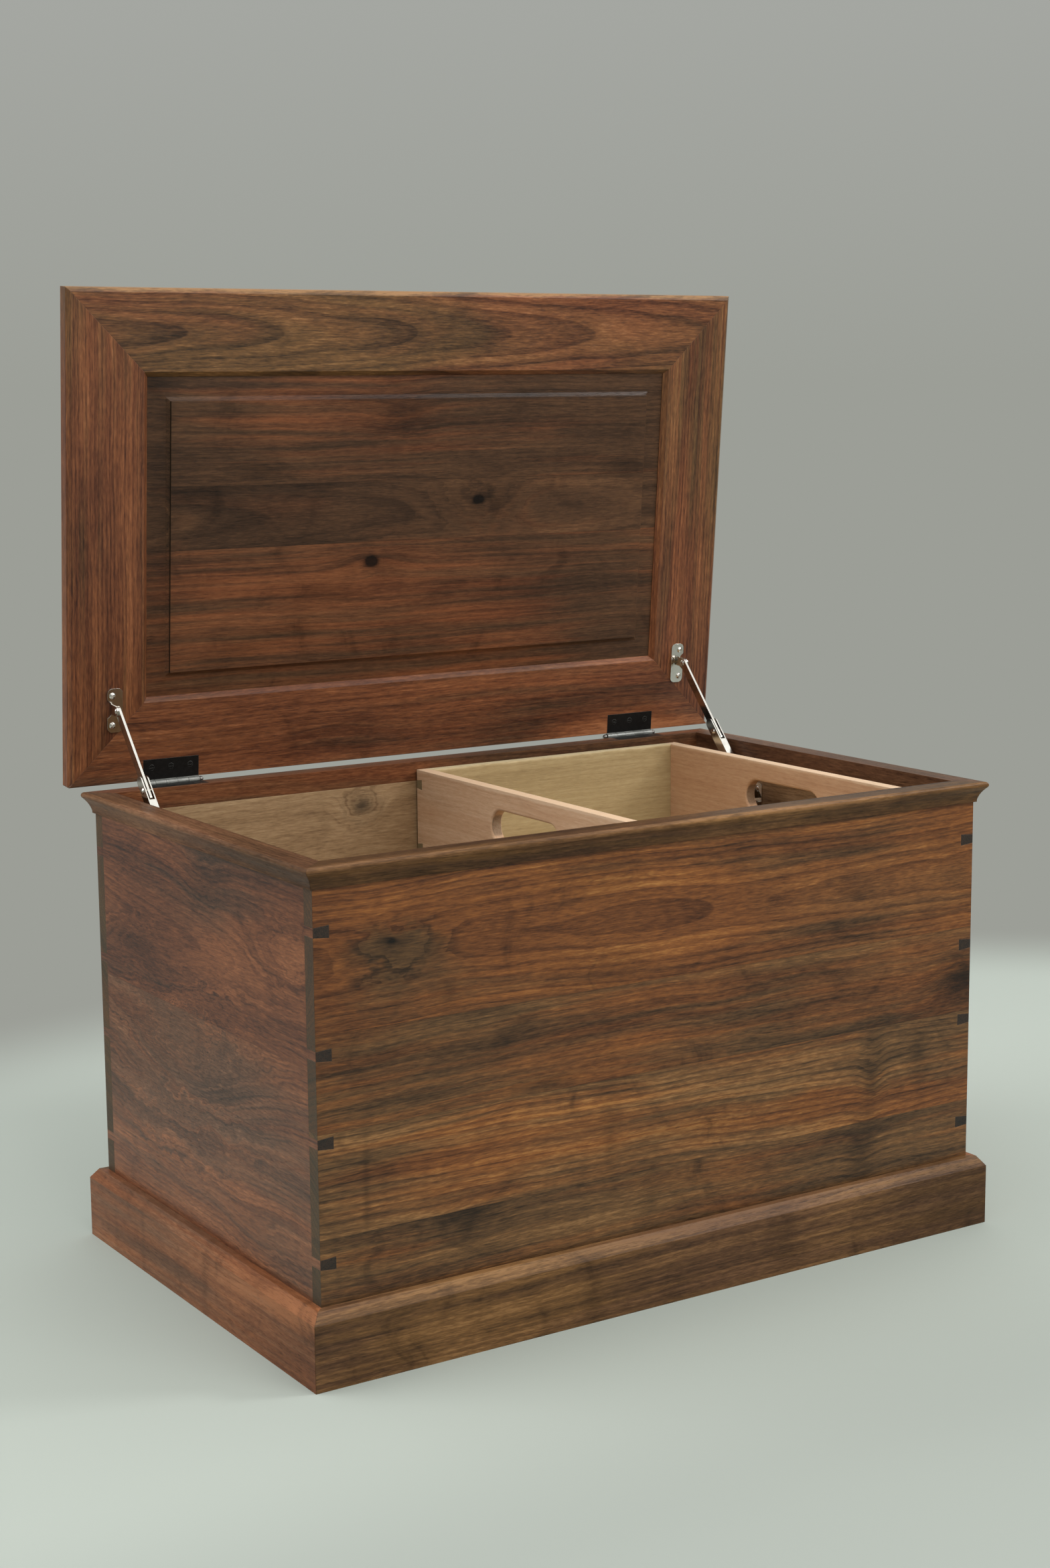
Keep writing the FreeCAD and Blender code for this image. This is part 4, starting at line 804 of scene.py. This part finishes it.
PAPER_FRONT_SHADED = paint(162, 168, 162)
PAPER_BRIGHT = paint(175, 182, 175)
PAPER_FAR = paint(156, 158, 151)
PAPER_HIGH = paint(165, 167, 162)

# The paper is pale around this place and turns into the backdrop between two distances from it
PAPER_MIDDLE = Vector((0.27, -0.81, 0))
PAPER_TURN = (1.78, 2.22)

# Places along Y between which the paper grows brighter: towards the camera it is painted darker, a painted
# falloff of the light
PAPER_LIGHT_FALLOFF = (-0.75, -0.40)
FLOOR_REACH = 60.0

# How high above the horizon the backdrop has its upper colour
SKY_HIGH = 0.15


def paper_floor():
    """A pale paper floor, painted darker towards the camera as a painted falloff of the light, that turns
    into the grey of the backdrop further away.
    """
    material, tree = new_tree("paper")
    x, y = split(tree, coordinates(tree))[:2]
    away = ((x - PAPER_MIDDLE.x).squared() + (y - PAPER_MIDDLE.y).squared()).math("SQRT")
    shader = tree.nodes.new("ShaderNodeBsdfDiffuse")
    # Painted shade: the paper is darker towards the camera
    plug(tree, shader.inputs["Color"], blend(tree, y.step(*PAPER_LIGHT_FALLOFF), PAPER_FRONT_SHADED, PAPER_BRIGHT))
    glow = tree.nodes.new("ShaderNodeEmission")
    glow.inputs["Color"].default_value = PAPER_FAR
    mix = tree.nodes.new("ShaderNodeMixShader")
    plug(tree, mix.inputs[0], away.step(*PAPER_TURN))
    tree.links.new(shader.outputs[0], mix.inputs[1])
    tree.links.new(glow.outputs[0], mix.inputs[2])
    output = tree.nodes.new("ShaderNodeOutputMaterial")
    tree.links.new(mix.outputs[0], output.inputs["Surface"])
    reach = FLOOR_REACH
    corners = [(-reach, -reach, 0), (reach, -reach, 0), (reach, reach, 0), (-reach, reach, 0)]
    mesh = bpy.data.meshes.new("floor")
    mesh.from_pydata(corners, [], [(0, 1, 2, 3)])
    mesh.materials.append(material)
    floor = bpy.data.objects.new("floor", mesh)
    bpy.context.scene.collection.objects.link(floor)


def soft_lamp(name, place, target, size, watts, colour=(1.0, 1.0, 1.0)):
    lamp = bpy.data.lights.new(name, "AREA")
    lamp.shape = "SQUARE"
    lamp.size = size
    lamp.energy = watts
    lamp.color = colour
    thing = bpy.data.objects.new(name, lamp)
    thing.location = place
    thing.rotation_euler = (Vector(target) - Vector(place)).to_track_quat("-Z", "Y").to_euler()
    thing.visible_camera = False
    bpy.context.scene.collection.objects.link(thing)


def studio():
    world = bpy.data.worlds.new("studio")
    world.use_nodes = True
    tree = world.node_tree
    height = split(tree, coordinates(tree, "Generated"))[2]
    sky = height.ramp([(0.0, PAPER_FAR), (SKY_HIGH, PAPER_HIGH)])
    plug(tree, tree.nodes["Background"].inputs["Color"], sky)
    bpy.context.scene.world = world
    soft_lamp("key", place=(0.4, -3.3, 2.7), target=(0, 0, 0.4), size=3.4, watts=68.0,
              colour=(1.0, 0.98, 0.95))
    soft_lamp("overhead", place=(0.2, 0.4, 3.6), target=(0.2, 0.4, 0), size=6.0, watts=112.0)
    soft_lamp("window", place=(2.9, -1.7, 3.0), target=(0.2, -0.3, 0.1), size=0.9, watts=50.0)
    soft_lamp("side", place=(-3.0, 1.2, 2.2), target=(-0.6, 0.3, 0.0), size=2.6, watts=68.0)


# The photograph's camera: focal length in its pixels, place in metres, angles in radians
IMAGE_HEIGHT = 2342
FOCAL_PIXELS = 3643.5
SENSOR_WIDTH = 36.0
CAMERA_PLACE = Vector((-1.5992, -2.4658, 1.0469))
CAMERA_TURN = 0.57243
CAMERA_DIP = 0.16305
CAMERA_ROLL = -0.00851


def photo_camera():
    camera = bpy.data.cameras.new("photo_camera")
    camera.sensor_width = SENSOR_WIDTH
    camera.lens = FOCAL_PIXELS / IMAGE_HEIGHT * camera.sensor_width
    thing = bpy.data.objects.new("photo_camera", camera)
    ahead = Vector((
        math.sin(CAMERA_TURN) * math.cos(CAMERA_DIP),
        math.cos(CAMERA_TURN) * math.cos(CAMERA_DIP),
        -math.sin(CAMERA_DIP),
    ))
    level = Vector((math.cos(CAMERA_TURN), -math.sin(CAMERA_TURN), 0))
    upright = level.cross(ahead)
    right = math.cos(CAMERA_ROLL) * level + math.sin(CAMERA_ROLL) * upright
    up = -math.sin(CAMERA_ROLL) * level + math.cos(CAMERA_ROLL) * upright
    turn = Matrix((right, up, -ahead)).transposed().to_4x4()
    thing.matrix_world = Matrix.Translation(CAMERA_PLACE) @ turn
    bpy.context.scene.collection.objects.link(thing)
    bpy.context.scene.camera = thing


dress()
paper_floor()
studio()
photo_camera()
bpy.context.scene.view_settings.view_transform = "Standard"
